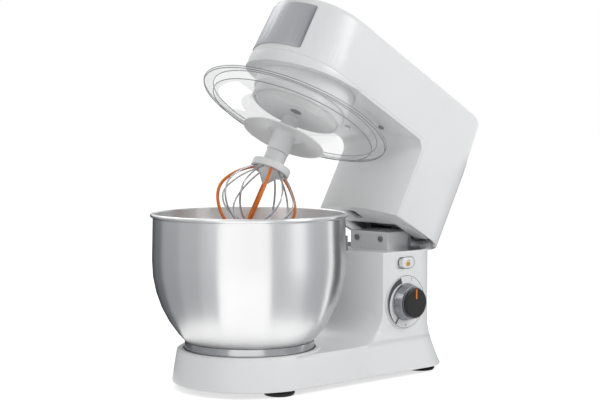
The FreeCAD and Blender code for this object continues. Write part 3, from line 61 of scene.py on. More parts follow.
MM = 0.001
JOINTS = {joint["name"]: joint for joint in frame["joints"]}
HINGE = Vector(JOINTS["head_tilt"]["pos_m"])
OPEN_ANGLE = -math.radians(JOINTS["head_tilt"]["range_deg"][0])
BOWL_AXIS = Vector((JOINTS["bowl_twist"]["pos_m"][0], 0, 0))
BEATER_JOINT_Z = 190

# Local frames in metres; pieces are drawn in millimetres in one of them
TILT = Matrix.Rotation(OPEN_ANGLE, 4, "Y")
STAND = Matrix.Translation(BOWL_AXIS)
HEAD = Matrix.Translation(HINGE) @ TILT @ Matrix.Translation(BOWL_AXIS - HINGE)
BEATER_DROP = Matrix.Translation((0, 0, -BEATER_JOINT_Z * MM))
BEATER = Matrix.Translation(JOINTS["beater_spin"]["pos_m"]) @ TILT @ BEATER_DROP
SIDE_TURN = Matrix.Rotation(math.pi / 2, 4, "X")
DIAL = Matrix.Translation(JOINTS["knob_turn"]["pos_m"]) @ SIDE_TURN

# Mesh limits: merging in millimetres, flat faces in degrees, points on a corner, steps of a fine turning
MERGE = 0.001
COPY_MERGE = 0.005
FLAT_ANGLE = 0.5
CORNER_POINTS = 7
FINE_STEPS = 128

# The foot of the column in millimetres, from the bowl's axis and the floor
COLUMN_HALF = 70.0
COLUMN_REAR = 246.0
COLUMN_CORNER = 40.0
COLUMN_SKIN = 0.05
FOOT_Z = 7.0
BASE_TOP_Z = 43.0
FLARE_TOP_Z = 54.0
FLARE_END_Z = 58.0
FOOT_REACH = 19.3
LEDGE_REACH = 12.7
FLARE_POWER = 1.4
FLARE_START_X = 78.0
FLARE_BLEND = 70.0
FLARE_CUTS_Z = (12, 17, 22, 27, 32, 37, 46, 49, 52)
FLARE_CUTS_X = range(70, 151, 8)

# Edges of the base that are rounded: lowest, highest and furthest back, in millimetres
BASE_EDGES = ((60, 150, 300), (42, 44, 60), (6, 8, 300))
BASE_EDGE_SEGMENTS = 4

# Turned profiles in millimetres: radius, height, corner radius
DRUM_COLLAR = ((55.15, 226, 0), (57.8, 226, 0.6), (59.8, 240, 6), (59.8, 250.8, 0), (55.15, 250.8, 0))
BOWL_WALL = (
    (0, 48, 0), (69.2, 48, 3), (112.4, 86.7, 128), (110, 193.6, 1), (113, 194.2, 1.6), (113, 198.4, 2),
    (108.6, 198.4, 1.6), (111, 145, 40), (111, 87.4, 126), (68.6, 49.4, 3), (0, 49.4, 0))
DRIP_CAP = (
    (6.2, 167.3, 0.5), (13.6, 167.3, 1.5), (13.6, 191, 3), (22, 191, 12), (49, 186, 1), (51, 186, 0.8),
    (51, 188, 0.8), (22, 193, 12), (6.2, 193, 0.8))
KNOB_SKIRT = ((3.1, 2.4, 0), (22.7, 2.4, 0.6), (22.4, 4.6, 0.5), (19.4, 14.4, 0.8), (3.1, 14.4, 0))
KNOB_FACE = ((0, 14.4, 0), (18.0, 14.4, 0.4), (18.0, 19.0, 1.6), (16.2, 19.6, 0.6), (0, 19.2, 0))
KNOB_EDGE = ((17.9, 15.0, 0), (18.5, 15.0, 0.2), (18.5, 16.2, 0.2), (17.9, 16.2, 0))
DIAL_RING = ((5.2, 0, 0), (32.7, 0, 0), (32.7, 2.0, 0.8), (5.2, 2.0, 0))
DIAL_LINE = ((31.2, 1.9, 0), (31.7, 1.9, 0), (31.7, 2.06, 0), (31.2, 2.06, 0))
RUBBER_FOOT = (
    (0, 0, 0), (16.0, 0, 1.2), (17.5, 2.2, 0.8), (17.5, 4.2, 0.4), (16.7, 4.6, 0.2), (16.7, 5.2, 0.2),
    (17.5, 5.6, 0.3), (17.5, 7, 0), (0, 7, 0))
FOOT_SPOTS = ((-11, -66), (-11, 66), (218, -62), (218, 62))
FOOT_STEPS = 48

# Plates inside the neck in millimetres: name, size, centre
NECK_PLATES = (
    ("neck_floor_left", (38, 22, 2), (195, 52, 154.2)),
    ("neck_floor_right", (38, 22, 2), (195, -52, 154.2)),
    ("neck_ceiling", (44, 112, 2), (198, 0, 170)))
NECK_EDGE = 0.6

# Grey rings on the guard's edges in millimetres: name, radius, height; each is a small rounded ring whose grey
# is painted shade for the dark line a clear edge shows
GUARD_SHADE_RINGS = (
    ("brim_top", 114.4, 209), ("brim_under", 113.6, 206.8), ("wall_top", 102.9, 209.2), ("floor", 99.4, 200.6))
SHADE_RING_HALF_WIDTH = 0.45
SHADE_RING_HALF_HEIGHT = 0.4
SHADE_RING_CORNER = 0.2

# Marks on knob, dial and lock button, in millimetres and degrees
KNOB_MARK = (2.2, 11.5, 1.0)
KNOB_MARK_SPOT = (0, 10.75, 19.7)
KNOB_MARK_EDGE = 0.3
DIAL_NUMBERS = "0123456"
NUMBER_START = 150
NUMBER_TURN = 40
NUMBER_RADIUS = 28.0
NUMBER_Z = 2.05
NUMBER_HALF_DEPTH = 0.05
WEDGE_START = 238
WEDGE_SWEEP = 132
WEDGE_RADIUS = 30.4
WEDGE_NARROW = 0.2
WEDGE_GROWTH = 7.0
WEDGE_Z = 2.08
WEDGE_DEPTH = 0.1
PADLOCK = (6.2, 4.4, 0.3)
PADLOCK_SPOT = (0, -1.6, 0.1)
PADLOCK_EDGE = 0.1
SHACKLE_RADIUS = 1.9
SHACKLE_WIRE = 0.4
SHACKLE_SIDES = 8
SHACKLE_SPOT = (1.1, 1.2, 0.1)

# The plate round the nose in millimetres; edges shorter than its wall are its corners
TRIM_WALL = 2.0
TRIM_CORNER = 6.0
TRIM_EDGE = 0.3

# Floor and world: half the floor's side in metres, shares of white and strengths of light
FLOOR_HALF = 30
FLOOR_SHADE = 0.85
FLOOR_GLOW = 0.66
WORLD_LIGHT = 0.47

# Lamps: name, place, aim and size in metres, power in watts, seen in reflections or not
LAMPS = (
    ("key_light", (0.9, -2.2, 1.6), (0, 0, 0.2), (1.0, 1.4), 28, True),
    ("left_light", (-2.2, -0.3, 1.2), (0, 0, 0.2), (0.5, 1.6), 2.5, True),
    ("back_light", (0.6, 2.0, 1.8), (0, 0, 0.3), (1.6, 0.8), 10, True),
    ("low_light", (-1.6, -0.6, 0.15), (0, 0, 0.33), (1.2, 0.3), 4, False))

# Sections of the grey cards in metres: distance from the bowl's axis, height
LOW_CARD = ((0.16, 0.001), (0.42, 0.001), (0.42, 0.24))
HIGH_CARD = ((0.42, 0.55), (0.42, 1.2))

# Grey cards round the mixer: start and stop angle from the camera in degrees, section, colour
FLAGS = (
    (-175, -135, LOW_CARD, "45474A"), (-135, -112, LOW_CARD, "6A6C6F"), (-112, -80, LOW_CARD, "A2A4A7"),
    (-80, -52, LOW_CARD, "B4B6B9"), (-52, -32, LOW_CARD, "C8CACC"), (22, 60, LOW_CARD, "CED0D2"),
    (60, 96, LOW_CARD, "B8BABD"), (104, 134, LOW_CARD, "5A5C5F"), (134, 165, LOW_CARD, "B4B6B9"),
    (-16, 6, HIGH_CARD, "9A9C9F"), (6, 80, HIGH_CARD, "4A4C4F"))


# Colours and sizes a user may change

def linear(code):
    """An sRGB hex colour as linear red, green and blue."""
    channels = [int(code[at:at + 2], 16) / 255 for at in (0, 2, 4)]
    return [c / 12.92 if c <= 0.04045 else ((c + 0.055) / 1.055) ** 2.4 for c in channels]


def colour(name, description, code):
    """A colour property with an sRGB hex default."""
    return FloatVectorProperty(
        name=name, description=description, subtype="COLOR", size=3, min=0, max=1, default=linear(code))


def length(name, description, millimetres):
    """A length property with its default in millimetres."""
    return FloatProperty(name=name, description=description, default=millimetres * MM, unit="LENGTH", min=0)


class MixerColours(bpy.types.PropertyGroup):
    """Colours of the mixer's finishes."""
    body: colour("Body", "Glossy moulded shells", "E9EAEB")
    # The planet disc's white is a little lighter than the body's: painted light for the disc's shaded
    # underside; the lock's pocket shares it
    carrier: colour("Planet disc", "Satin moulded disc under the head, and the lock's pocket", "F1F2F2")
    orange: colour("Orange", "Silicone on the coated wires and the knob's mark", "EC7A1C")
    steel: colour("Steel", "Spun bowl", "E6E6E6")
    trim: colour("Trim", "Brushed plate round the nose", "A6A8AB")
    alloy: colour("Alloy", "Cast aluminium inside the head", "C4C6C9")
    black: colour("Black", "Rubber feet, gland and belt", "121314")
    brass: colour("Brass", "Bushes and the padlock mark", "C99A3C")
    board: colour("Board", "Control board", "1F5A34")
    floor: colour("Floor", "Studio floor", "FFFFFF")


class MixerSizes(bpy.types.PropertyGroup):
    """Sizes of the pieces that dress the frame, and of the studio."""
    shell_edge: length("Shell edge", "Rounding of the moulded shells' edges", 2.2)
    small_edge: length("Small edge", "Rounding of small moulded pieces' edges", 0.5)
    clear_edge: length("Clear edge", "Rounding of the splash guard's edges", 0.7)
    number_height: length("Number height", "Height of the numbers on the dial", 4.2)
    camera_distance: length("Camera distance", "Camera to the bowl's axis, level", 1472.3)
    camera_height: length("Camera height", "Camera above the floor", 296.0)
    camera_lens: FloatProperty(name="Lens", description="Focal length in millimetres", default=77.3, min=10)
    camera_turn: FloatProperty(
        name="Camera turn", description="Direction of the camera from the front",
        default=math.radians(-38.63), subtype="ANGLE")
    camera_pan: FloatProperty(
        name="Camera pan", description="Turn of the view from the bowl's axis",
        default=math.radians(2.26), subtype="ANGLE")
    camera_dip: FloatProperty(
        name="Camera dip", description="Downward slope of the view",
        default=math.radians(3.24), subtype="ANGLE")


# Materials

def add(tree, kind, inputs=None, **settings):
    """Adds a node; inputs holds constants or the sockets to link from."""
    made = tree.nodes.new("ShaderNode" + kind)
    for name, value in settings.items():
        setattr(made, name, value)
    for name, value in (inputs or {}).items():
        if isinstance(value, bpy.types.NodeSocket):
            tree.links.new(value, made.inputs[name])
        else:
            made.inputs[name].default_value = value
    return made


def begin(name, base, metallic, roughness, ior=None):
    """A new material with its shader set; a metal keeps the default IOR."""
    material = bpy.data.materials.new(name)
    material.use_nodes = True
    shader = material.node_tree.nodes["Principled BSDF"]
    shader.inputs["Base Color"].default_value = (*base, 1)
    shader.inputs["Metallic"].default_value = metallic
    shader.inputs["Roughness"].default_value = roughness
    if ior:
        shader.inputs["IOR"].default_value = ior
    return material, material.node_tree, shader


def per_metre(millimetres):
    """Texture scale that gives features of this size."""
    return 1 / (millimetres * MM)


def vary(tree, shader, pattern, low, high, base, shift):
    """Lets a pattern move the roughness between two values and shade the base colour a little."""
    rough = add(tree, "MapRange", {"Value": pattern, "To Min": low, "To Max": high})
    tree.links.new(rough.outputs["Result"], shader.inputs["Roughness"])
    dark = [channel * (1 - shift) for channel in base]
    ramp = add(tree, "ValToRGB", {"Fac": pattern})
    ramp.color_ramp.elements[0].color = (*dark, 1)
    ramp.color_ramp.elements[1].color = (*base, 1)
    tree.links.new(ramp.outputs["Color"], shader.inputs["Base Color"])


def moulded_plastic(name, base, roughness, grain_mm):
    """Injection-moulded ABS or nylon: an even sheen with a faint ripple from the tool and slight shading."""
    material, tree, shader = begin(name, base, 0, roughness, 1.54)
    place = add(tree, "TexCoord").outputs["Object"]
    cloud = add(tree, "TexNoise", {"Vector": place, "Scale": per_metre(60), "Detail": 2})
    vary(tree, shader, cloud.outputs["Fac"], roughness * 0.85, roughness * 1.2, base, 0.03)
    ripple = add(tree, "TexNoise", {"Vector": place, "Scale": per_metre(grain_mm), "Detail": 1})
    bump = add(tree, "Bump", {"Height": ripple.outputs["Fac"], "Distance": 0.02 * MM, "Strength": 0.35})
    tree.links.new(bump.outputs["Normal"], shader.inputs["Normal"])
    return material


def clear_plastic(name, code, cover):
    """Clear moulded SAN: a thin glossy wall that hides only a share of what lies behind it."""
    material, tree, shader = begin(name, linear(code), 0, 0.06, 1.57)
    shader.inputs["Alpha"].default_value = cover
    place = add(tree, "TexCoord").outputs["Object"]
    flow = add(tree, "TexNoise", {"Vector": place, "Scale": per_metre(25), "Detail": 2})
    rough = add(tree, "MapRange", {"Value": flow.outputs["Fac"], "To Min": 0.04, "To Max": 0.09})
    tree.links.new(rough.outputs["Result"], shader.inputs["Roughness"])
    return material


def brushed_metal(name, base, roughness, streak_mm, turn=(0, 0, 0), shade=0.25, spun=0):
    """Brushed metal: fine streaks across the local height; on spun metal they spread the highlights upright."""
    material, tree, shader = begin(name, base, 1, roughness)
    place = add(tree, "TexCoord").outputs["Object"]
    lined = add(
        tree, "Mapping", {"Vector": place, "Rotation": turn, "Scale": (120 * MM, 120 * MM, streak_mm * MM)},
        vector_type="TEXTURE")
    streaks = add(tree, "TexNoise", {"Vector": lined.outputs["Vector"], "Scale": 1, "Detail": 4})
    spread = 0.08 if spun else 0.3
    vary(tree, shader, streaks.outputs["Fac"], roughness * (1 - spread), roughness * (1 + spread), base, shade)
    if spun:
        round_about = add(tree, "Tangent", direction_type="RADIAL", axis="Z")
        tree.links.new(round_about.outputs["Tangent"], shader.inputs["Tangent"])
        shader.inputs["Anisotropic"].default_value = spun
        shader.inputs["Anisotropic Rotation"].default_value = 0.25
    return material


def polished_metal(name, base, roughness, mark_mm):
    """Machined, cast or drawn metal: bright, with soft marks left by the tool."""
    material, tree, shader = begin(name, base, 1, roughness)
    place = add(tree, "TexCoord").outputs["Object"]
    marks = add(tree, "TexNoise", {"Vector": place, "Scale": per_metre(mark_mm), "Detail": 3})
    vary(tree, shader, marks.outputs["Fac"], roughness * 0.7, roughness * 1.5, base, 0.12)
    bump = add(tree, "Bump", {"Height": marks.outputs["Fac"], "Distance": 0.01 * MM, "Strength": 0.2})
    tree.links.new(bump.outputs["Normal"], shader.inputs["Normal"])
    return material


def soft_rubber(name, base, roughness, grain_mm):
    """Moulded rubber or silicone: a matt skin with a fine grain, drawn coarse enough to show."""
    material, tree, shader = begin(name, base, 0, roughness, 1.5)
    place = add(tree, "TexCoord").outputs["Object"]
    grain = add(tree, "TexNoise", {"Vector": place, "Scale": per_metre(grain_mm), "Detail": 3})
    vary(tree, shader, grain.outputs["Fac"], roughness * 0.85, min(1, roughness * 1.2), base, 0.15)
    bump = add(tree, "Bump", {"Height": grain.outputs["Fac"], "Distance": 0.05 * MM, "Strength": 0.4})
    tree.links.new(bump.outputs["Normal"], shader.inputs["Normal"])
    return material


def circuit_board(name, base):
    """Glass-fibre board: a weave under green lacquer."""
    material, tree, shader = begin(name, base, 0, 0.4, 1.55)
    place = add(tree, "TexCoord").outputs["Object"]
    weave = add(tree, "TexChecker", {"Vector": place, "Scale": per_metre(1.2)})
    vary(tree, shader, weave.outputs["Fac"], 0.35, 0.5, base, 0.2)
    return material


def printed_ink(name, base):
    """Pad-printed ink: thin, slightly uneven and matt."""
    material, tree, shader = begin(name, base, 0, 0.5, 1.5)
    place = add(tree, "TexCoord").outputs["Object"]
    speckle = add(tree, "TexNoise", {"Vector": place, "Scale": per_metre(0.8), "Detail": 1})
    vary(tree, shader, speckle.outputs["Fac"], 0.45, 0.6, base, 0.1)
    return material


def make_materials():
    """Every finish of the mixer by name."""
    tint = bpy.context.scene.mixer_colours
    nose_turn = (0, OPEN_ANGLE, 0)
    knob_turn = (math.pi / 2, 0, 0)
    return {
        "body": moulded_plastic("glossy_white_abs", tint.body, 0.32, 1.2),
        # Satin white, lighter than the body: painted light for the shaded disc under the head, also used on the
        # lock's pocket
        "satin": moulded_plastic("satin_abs_painted_light", tint.carrier, 0.4, 0.9),
        "dark": moulded_plastic("dark_moulded_nylon", linear("232427"), 0.5, 0.9),
        "gloss_black": moulded_plastic("glossy_black_abs", linear("0B0B0C"), 0.3, 1.2),
        # Grey, half-hiding finish of the guard's edge rings: painted shade for the dark lines along the clear
        # plastic's edges
        "clear": clear_plastic("clear_moulded_san", "EEF1F2", 0.16),
        "clear_edge": clear_plastic("clear_edge_painted_shade", "8E9194", 0.7),
        "trim": brushed_metal("brushed_aluminium_trim", tint.trim, 0.42, 0.5, nose_turn, 0.06),
        "steel": brushed_metal("spun_stainless_steel", tint.steel, 0.3, 1.2, shade=0.03, spun=0.85),
        "foot_steel": brushed_metal("rolled_stainless_ring", linear("C2C3C4"), 0.22, 1.2, shade=0.1),
        "wire": polished_metal("drawn_steel_wire", linear("BFC1C4"), 0.2, 3),
        "silver": brushed_metal("turned_aluminium_knob", linear("9EA0A3"), 0.28, 0.6, knob_turn, 0.1),
        "alloy": polished_metal("die_cast_aluminium", tint.alloy, 0.42, 1.5),
        "machined": polished_metal("machined_steel", linear("A9ABAE"), 0.28, 2),
        "brass": polished_metal("turned_brass", tint.brass, 0.3, 2),
        "orange": soft_rubber("orange_silicone", tint.orange, 0.42, 0.8),
        "rubber": soft_rubber("black_rubber", tint.black, 0.7, 0.7),
        "board": circuit_board("green_circuit_board", tint.board),
        "ink": printed_ink("grey_dial_ink", linear("4A4C50")),
        "gold_ink": printed_ink("gold_padlock_ink", tint.brass),
        "orange_ink": printed_ink("orange_mark_ink", tint.orange),
    }


# Helpers for meshes

def filleted(points):
    """A line through (x, y, corner radius) points, with each corner rounded."""
    line = []
    for index, (x, y, radius) in enumerate(points):
        corner = Vector((x, y, 0))
        if not radius:
            line.append(corner)
            continue
        before = Vector((*points[index - 1][:2], 0)) - corner
        after = Vector((*points[(index + 1) % len(points)][:2], 0)) - corner
        half = before.angle(after) / 2
        reach = radius / math.tan(half)
        handle = reach - radius * math.tan((math.pi / 2 - half) / 2) * 4 / 3
        a, b = before.normalized(), after.normalized()
        line += interpolate_bezier(
            corner + a * reach, corner + a * handle, corner + b * handle, corner + b * reach, CORNER_POINTS)
    return line


def lathe(points, steps=96, closed=True):
    """A solid turned about Z from (radius, height, corner) points; an open line starts and ends on the axis."""
    work = bmesh.new()
    verts = [work.verts.new((p.x, 0, p.y)) for p in filleted(points)]
    ends = verts[1:] + verts[:1] if closed else verts[1:]
    edges = [work.edges.new(pair) for pair in zip(verts, ends)]
    bmesh.ops.spin(
        work, geom=verts + edges, cent=(0, 0, 0), axis=(0, 0, 1), angle=math.tau, steps=steps, use_merge=True)
    bmesh.ops.remove_doubles(work, verts=work.verts, dist=MERGE)
    bmesh.ops.recalc_face_normals(work, faces=work.faces)
    return work


def copied(node):
    """A merged copy of a CAD node's mesh, in metres."""
    work = bmesh.new()
    work.from_mesh(frame["nodes"][node].data)
    bmesh.ops.remove_doubles(work, verts=work.verts, dist=COPY_MERGE * MM)
    bmesh.ops.dissolve_limit(work, angle_limit=math.radians(FLAT_ANGLE), verts=work.verts, edges=work.edges)
    return work


def sharp_edges(work, sharpest=28):
    """The edges at which two faces meet at more than an angle in degrees."""
    limit = math.radians(sharpest)
    return [side for side in work.edges if side.is_manifold and side.calc_face_angle() > limit]


def round_edges(work, edges, offset, segments=3):
    """Rounds edges by an offset in the mesh's own unit."""
    bmesh.ops.bevel(
        work, geom=edges, offset=offset, offset_type="OFFSET", segments=segments, profile=0.5, affect="EDGES",
        clamp_overlap=True, material=-1)


def softened(node, edge):
    """A copy of a CAD node, in metres, with its sharp edges rounded."""
    work = copied(node)
    round_edges(work, sharp_edges(work), edge)
    return work


def rounded_block(size, corner):
    """A block centred on the origin with rounded edges."""
    work = bmesh.new()
    bmesh.ops.create_cube(work, size=1, matrix=Matrix.Diagonal((*size, 1)))
    round_edges(work, work.edges[:], corner, 2)
    return work


def shifted(place, spot):
    """A local frame moved along its own axes by a spot in millimetres."""
    return place @ Matrix.Translation(Vector(spot) * MM)


def mesh_object(work, name, material):
    """Makes a bmesh an object of the scene with one material."""
    mesh = bpy.data.meshes.new(name)
    work.to_mesh(mesh)
    work.free()
    mesh.materials.append(material)
    made = bpy.data.objects.new(name, mesh)
    bpy.context.scene.collection.objects.link(made)
    return made


def finish_piece(work, name, body, material, replaced=(), place=None, smooth=30):
    """Makes a bmesh a piece that rides on a body; a placed bmesh is in millimetres."""
    if place is not None:
        bmesh.ops.transform(work, matrix=place @ Matrix.Scale(MM, 4), verts=work.verts)
    piece = mesh_object(work, name, material)
    piece.data.shade_smooth()
    piece.data.set_sharp_from_angle(angle=math.radians(smooth))
    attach(piece, body)
    if replaced:
        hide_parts(*replaced)


def paint(material, *nodes):
    """Gives CAD nodes a finish."""
    for node in nodes:
        slots = frame["nodes"][node].data.materials
        slots.clear()
        slots.append(material)


# Pieces

def make_shells(finish):
    """The moulded shells of tower and head, with rounded edges."""
    edge = bpy.context.scene.mixer_sizes.shell_edge
    shells = (("hinge_tower", "stand"), ("head_upper_shell", "head"), ("head_lower_shell", "head"))
    for node, body in shells:
        work = softened(node, edge)
        finish_piece(work, node + "_moulded", body, finish["body"], [node])


def flare_foot(work):
    """Draws the column's foot out to the base in one smooth sweep, round the sides and the rear."""
    cuts = [((0, 0, height), (0, 0, 1)) for height in FLARE_CUTS_Z]
    cuts += [((x, 0, 0), (1, 0, 0)) for x in FLARE_CUTS_X]
    for spot, normal in cuts:
        whole = work.verts[:] + work.edges[:] + work.faces[:]
        bmesh.ops.bisect_plane(work, geom=whole, dist=MERGE, plane_co=spot, plane_no=normal)
    middle = COLUMN_HALF - COLUMN_CORNER
    for point in work.verts:
        x, y, z = point.co
        if not FOOT_Z < z < FLARE_TOP_Z:
            continue
        inner = Vector((min(x, COLUMN_REAR - COLUMN_CORNER), max(-middle, min(y, middle))))
        outward = point.co.xy - inner
        over = outward.length - COLUMN_CORNER
        if over < COLUMN_SKIN:
            continue
        if z > BASE_TOP_Z:
            now = LEDGE_REACH * (FLARE_TOP_Z - z) / (FLARE_TOP_Z - BASE_TOP_Z)
        else:
            now = FOOT_REACH + (LEDGE_REACH - FOOT_REACH) * (z - FOOT_Z) / (BASE_TOP_Z - FOOT_Z)
        wanted = FOOT_REACH * ((FLARE_END_Z - z) / (FLARE_END_Z - FOOT_Z)) ** FLARE_POWER
        share = min(1, max(0, (x - FLARE_START_X) / FLARE_BLEND))
        share = share * share * (3 - 2 * share)
        scale = 1 + (wanted / now - 1) * share
        point.co.xy = inner + outward.normalized() * (COLUMN_CORNER + over * scale)


def make_base(finish):
    """The base with its column, one moulding whose foot spreads smoothly."""
    edge = bpy.context.scene.mixer_sizes.shell_edge
    base = copied("base_shell")
    bmesh.ops.transform(base, matrix=(STAND @ Matrix.Scale(MM, 4)).inverted(), verts=base.verts)
    flare_foot(base)
    for low, high, reach in BASE_EDGES:
        chosen = [side for side in sharp_edges(base)
                  if all(low < point.co.z < high and point.co.x < reach for point in side.verts)]
        round_edges(base, chosen, edge / MM, BASE_EDGE_SEGMENTS)
    finish_piece(base, "base_shell_moulded", "stand", finish["body"], ["base_shell"], STAND)


def make_head_details(finish):
    """The collar between chin and drum, and the floors and the ceiling inside the neck."""
    collar = lathe(DRUM_COLLAR)
    finish_piece(collar, "drum_collar", "head", finish["body"], place=HEAD)
    for name, size, centre in NECK_PLATES:
        plate = rounded_block(size, NECK_EDGE)
        finish_piece(plate, name, "head", finish["body"], place=shifted(HEAD, centre))


def make_bowl(finish):
    """The pressed bowl with its rolled rim."""
    wall = lathe(BOWL_WALL, FINE_STEPS, closed=False)
    finish_piece(wall, "bowl_pressing", "bowl", finish["steel"], ["bowl_shell"], STAND, 40)


def make_guard(finish):
    """The clear splash guard, with glossy grey rings on its edges whose grey is painted shade for the dark
    lines its clear edges show.
    """
    edge = bpy.context.scene.mixer_sizes.clear_edge
    work = softened("splash_guard", edge)
    finish_piece(work, "splash_guard_clear", "head", finish["clear"], ["splash_guard"])
    for name, radius, height in GUARD_SHADE_RINGS:
        inner, outer = radius - SHADE_RING_HALF_WIDTH, radius + SHADE_RING_HALF_WIDTH
        low, high = height - SHADE_RING_HALF_HEIGHT, height + SHADE_RING_HALF_HEIGHT
        corners = ((inner, low), (outer, low), (outer, high), (inner, high))
        shade_ring = lathe([(*corner, SHADE_RING_CORNER) for corner in corners], FINE_STEPS)
        finish_piece(shade_ring, "guard_shade_ring_" + name, "head", finish["clear_edge"], place=HEAD)


def make_whisk(finish):
    """The drip cap and the whisk's hub."""
    cap = lathe(DRIP_CAP)
    finish_piece(cap, "drip_cap_moulded", "beater", finish["body"], ["drip_cap"], BEATER)
    hub = softened("whisk_hub", bpy.context.scene.mixer_sizes.small_edge)
    finish_piece(hub, "whisk_hub_moulded", "beater", finish["body"], ["whisk_hub"])


def make_knob(finish):
    """The speed knob: turned skirt, glossy face with a bright edge, and its mark."""
    skirt = lathe(KNOB_SKIRT)
    finish_piece(skirt, "knob_skirt_turned", "knob", finish["silver"], ["knob_skirt"], DIAL)
    face = lathe(KNOB_FACE, closed=False)
    finish_piece(face, "knob_face_gloss", "knob", finish["gloss_black"], ["knob_face"], DIAL)
    edge = lathe(KNOB_EDGE)
    finish_piece(edge, "knob_bright_edge", "knob", finish["silver"], place=DIAL)
    mark = rounded_block(KNOB_MARK, KNOB_MARK_EDGE)
    place = shifted(DIAL, KNOB_MARK_SPOT)
    finish_piece(mark, "knob_mark", "knob", finish["orange_ink"], ["knob_pointer"], place)


def make_dial(finish):
    """The ring behind the knob, with its printed line and numbers and a dark wedge."""
    ring = lathe(DIAL_RING)
    finish_piece(ring, "dial_ring_moulded", "stand", finish["body"], ["dial_ring"], DIAL)
    line = lathe(DIAL_LINE)
    finish_piece(line, "dial_line", "stand", finish["ink"], place=DIAL)
    make_wedge(finish)
    height = bpy.context.scene.mixer_sizes.number_height
    for index, text in enumerate(DIAL_NUMBERS):
        letter = bpy.data.curves.new("dial_number", "FONT")
        letter.body = text
        letter.size = height
        letter.align_x = "CENTER"
        letter.align_y = "CENTER"
        letter.extrude = NUMBER_HALF_DEPTH * MM
        holder = bpy.data.objects.new("dial_number_text", letter)
        mesh = bpy.data.meshes.new_from_object(holder)
        bpy.data.objects.remove(holder)
        work = bmesh.new()
        work.from_mesh(mesh)
        turn = math.radians(NUMBER_START - index * NUMBER_TURN)
        spot = (NUMBER_RADIUS * math.cos(turn), NUMBER_RADIUS * math.sin(turn), NUMBER_Z)
        bmesh.ops.transform(work, matrix=shifted(DIAL, spot), verts=work.verts)
        finish_piece(work, f"dial_number_{text}", "stand", finish["ink"])


def make_wedge(finish):
    """A dark band on the dial ring that widens as it goes round."""
    start, sweep = math.radians(WEDGE_START), math.radians(WEDGE_SWEEP)
    inner = WEDGE_RADIUS - WEDGE_NARROW
    work = bmesh.new()
    ends = [work.verts.new((radius * math.cos(start), radius * math.sin(start), WEDGE_Z))
            for radius in (WEDGE_RADIUS, inner)]
    side = work.edges.new(ends)
    bmesh.ops.spin(
        work, geom=ends + [side], cent=(0, 0, 0), axis=(0, 0, 1), angle=-sweep, steps=24, use_merge=False)
    for point in work.verts:
        reach = point.co.xy.length
        if reach < WEDGE_RADIUS - WEDGE_NARROW / 2:
            turn = (start - math.atan2(point.co.y, point.co.x)) % math.tau
            point.co.xy *= (inner - WEDGE_GROWTH * turn / sweep) / reach
    bmesh.ops.recalc_face_normals(work, faces=work.faces)
    bmesh.ops.solidify(work, geom=work.faces[:], thickness=WEDGE_DEPTH)
    finish_piece(work, "dial_wedge", "stand", finish["ink"], place=DIAL)


def make_lock(finish):
    """The head lock's pocket, its button and the padlock mark on it."""
    edge = bpy.context.scene.mixer_sizes.small_edge
    bezel = softened("lock_bezel", edge)
    finish_piece(bezel, "lock_pocket", "stand", finish["satin"], ["lock_bezel"])
    button = softened("lock_button", edge * 2)
    finish_piece(button, "lock_button_moulded", "lock", finish["body"], ["lock_button"])
    low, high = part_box("lock_button")
    front = Vector(((low.x + high.x) / 2, low.y, (low.z + high.z) / 2))
    place = Matrix.Translation(front) @ SIDE_TURN
    body = rounded_block(PADLOCK, PADLOCK_EDGE)
    finish_piece(
        body, "padlock_body", "lock", finish["gold_ink"], place=shifted(place, PADLOCK_SPOT))
    shackle = bmesh.new()
    across = Matrix.Translation((SHACKLE_RADIUS, 0, 0)) @ SIDE_TURN
    ring = bmesh.ops.create_circle(shackle, segments=SHACKLE_SIDES, radius=SHACKLE_WIRE, matrix=across)
    bmesh.ops.spin(
        shackle, geom=ring["verts"] + shackle.edges[:], cent=(0, 0, 0), axis=(0, 0, 1), angle=math.pi,
        steps=12, use_merge=False)
    bmesh.ops.holes_fill(shackle, edges=shackle.edges, sides=SHACKLE_SIDES)
    bmesh.ops.recalc_face_normals(shackle, faces=shackle.faces)
    finish_piece(
        shackle, "padlock_shackle", "lock", finish["gold_ink"], place=shifted(place, SHACKLE_SPOT))


def make_trim(finish):
    """The brushed plate round the nose, its corners rounded."""
    work = copied("front_trim")
    corners = [side for side in sharp_edges(work, 60) if side.calc_length() < TRIM_WALL * MM]
    round_edges(work, corners, TRIM_CORNER * MM, 6)
    round_edges(work, sharp_edges(work), TRIM_EDGE * MM, 2)
    finish_piece(work, "front_trim_brushed", "head", finish["trim"], ["front_trim"])


def make_feet(finish):
    """Four rubber feet with a rounded tread and a groove round the side."""
    work = lathe(RUBBER_FOOT, FOOT_STEPS, closed=False)
    pattern = work.verts[:] + work.edges[:] + work.faces[:]
    for x, y in FOOT_SPOTS:
        made = bmesh.ops.duplicate(work, geom=pattern)["geom"]
        verts = [item for item in made if isinstance(item, bmesh.types.BMVert)]
        bmesh.ops.translate(work, vec=(x, y, 0), verts=verts)
    bmesh.ops.delete(work, geom=pattern, context="VERTS")
    finish_piece(work, "rubber_feet_moulded", "stand", finish["rubber"], ["rubber_feet"], STAND)


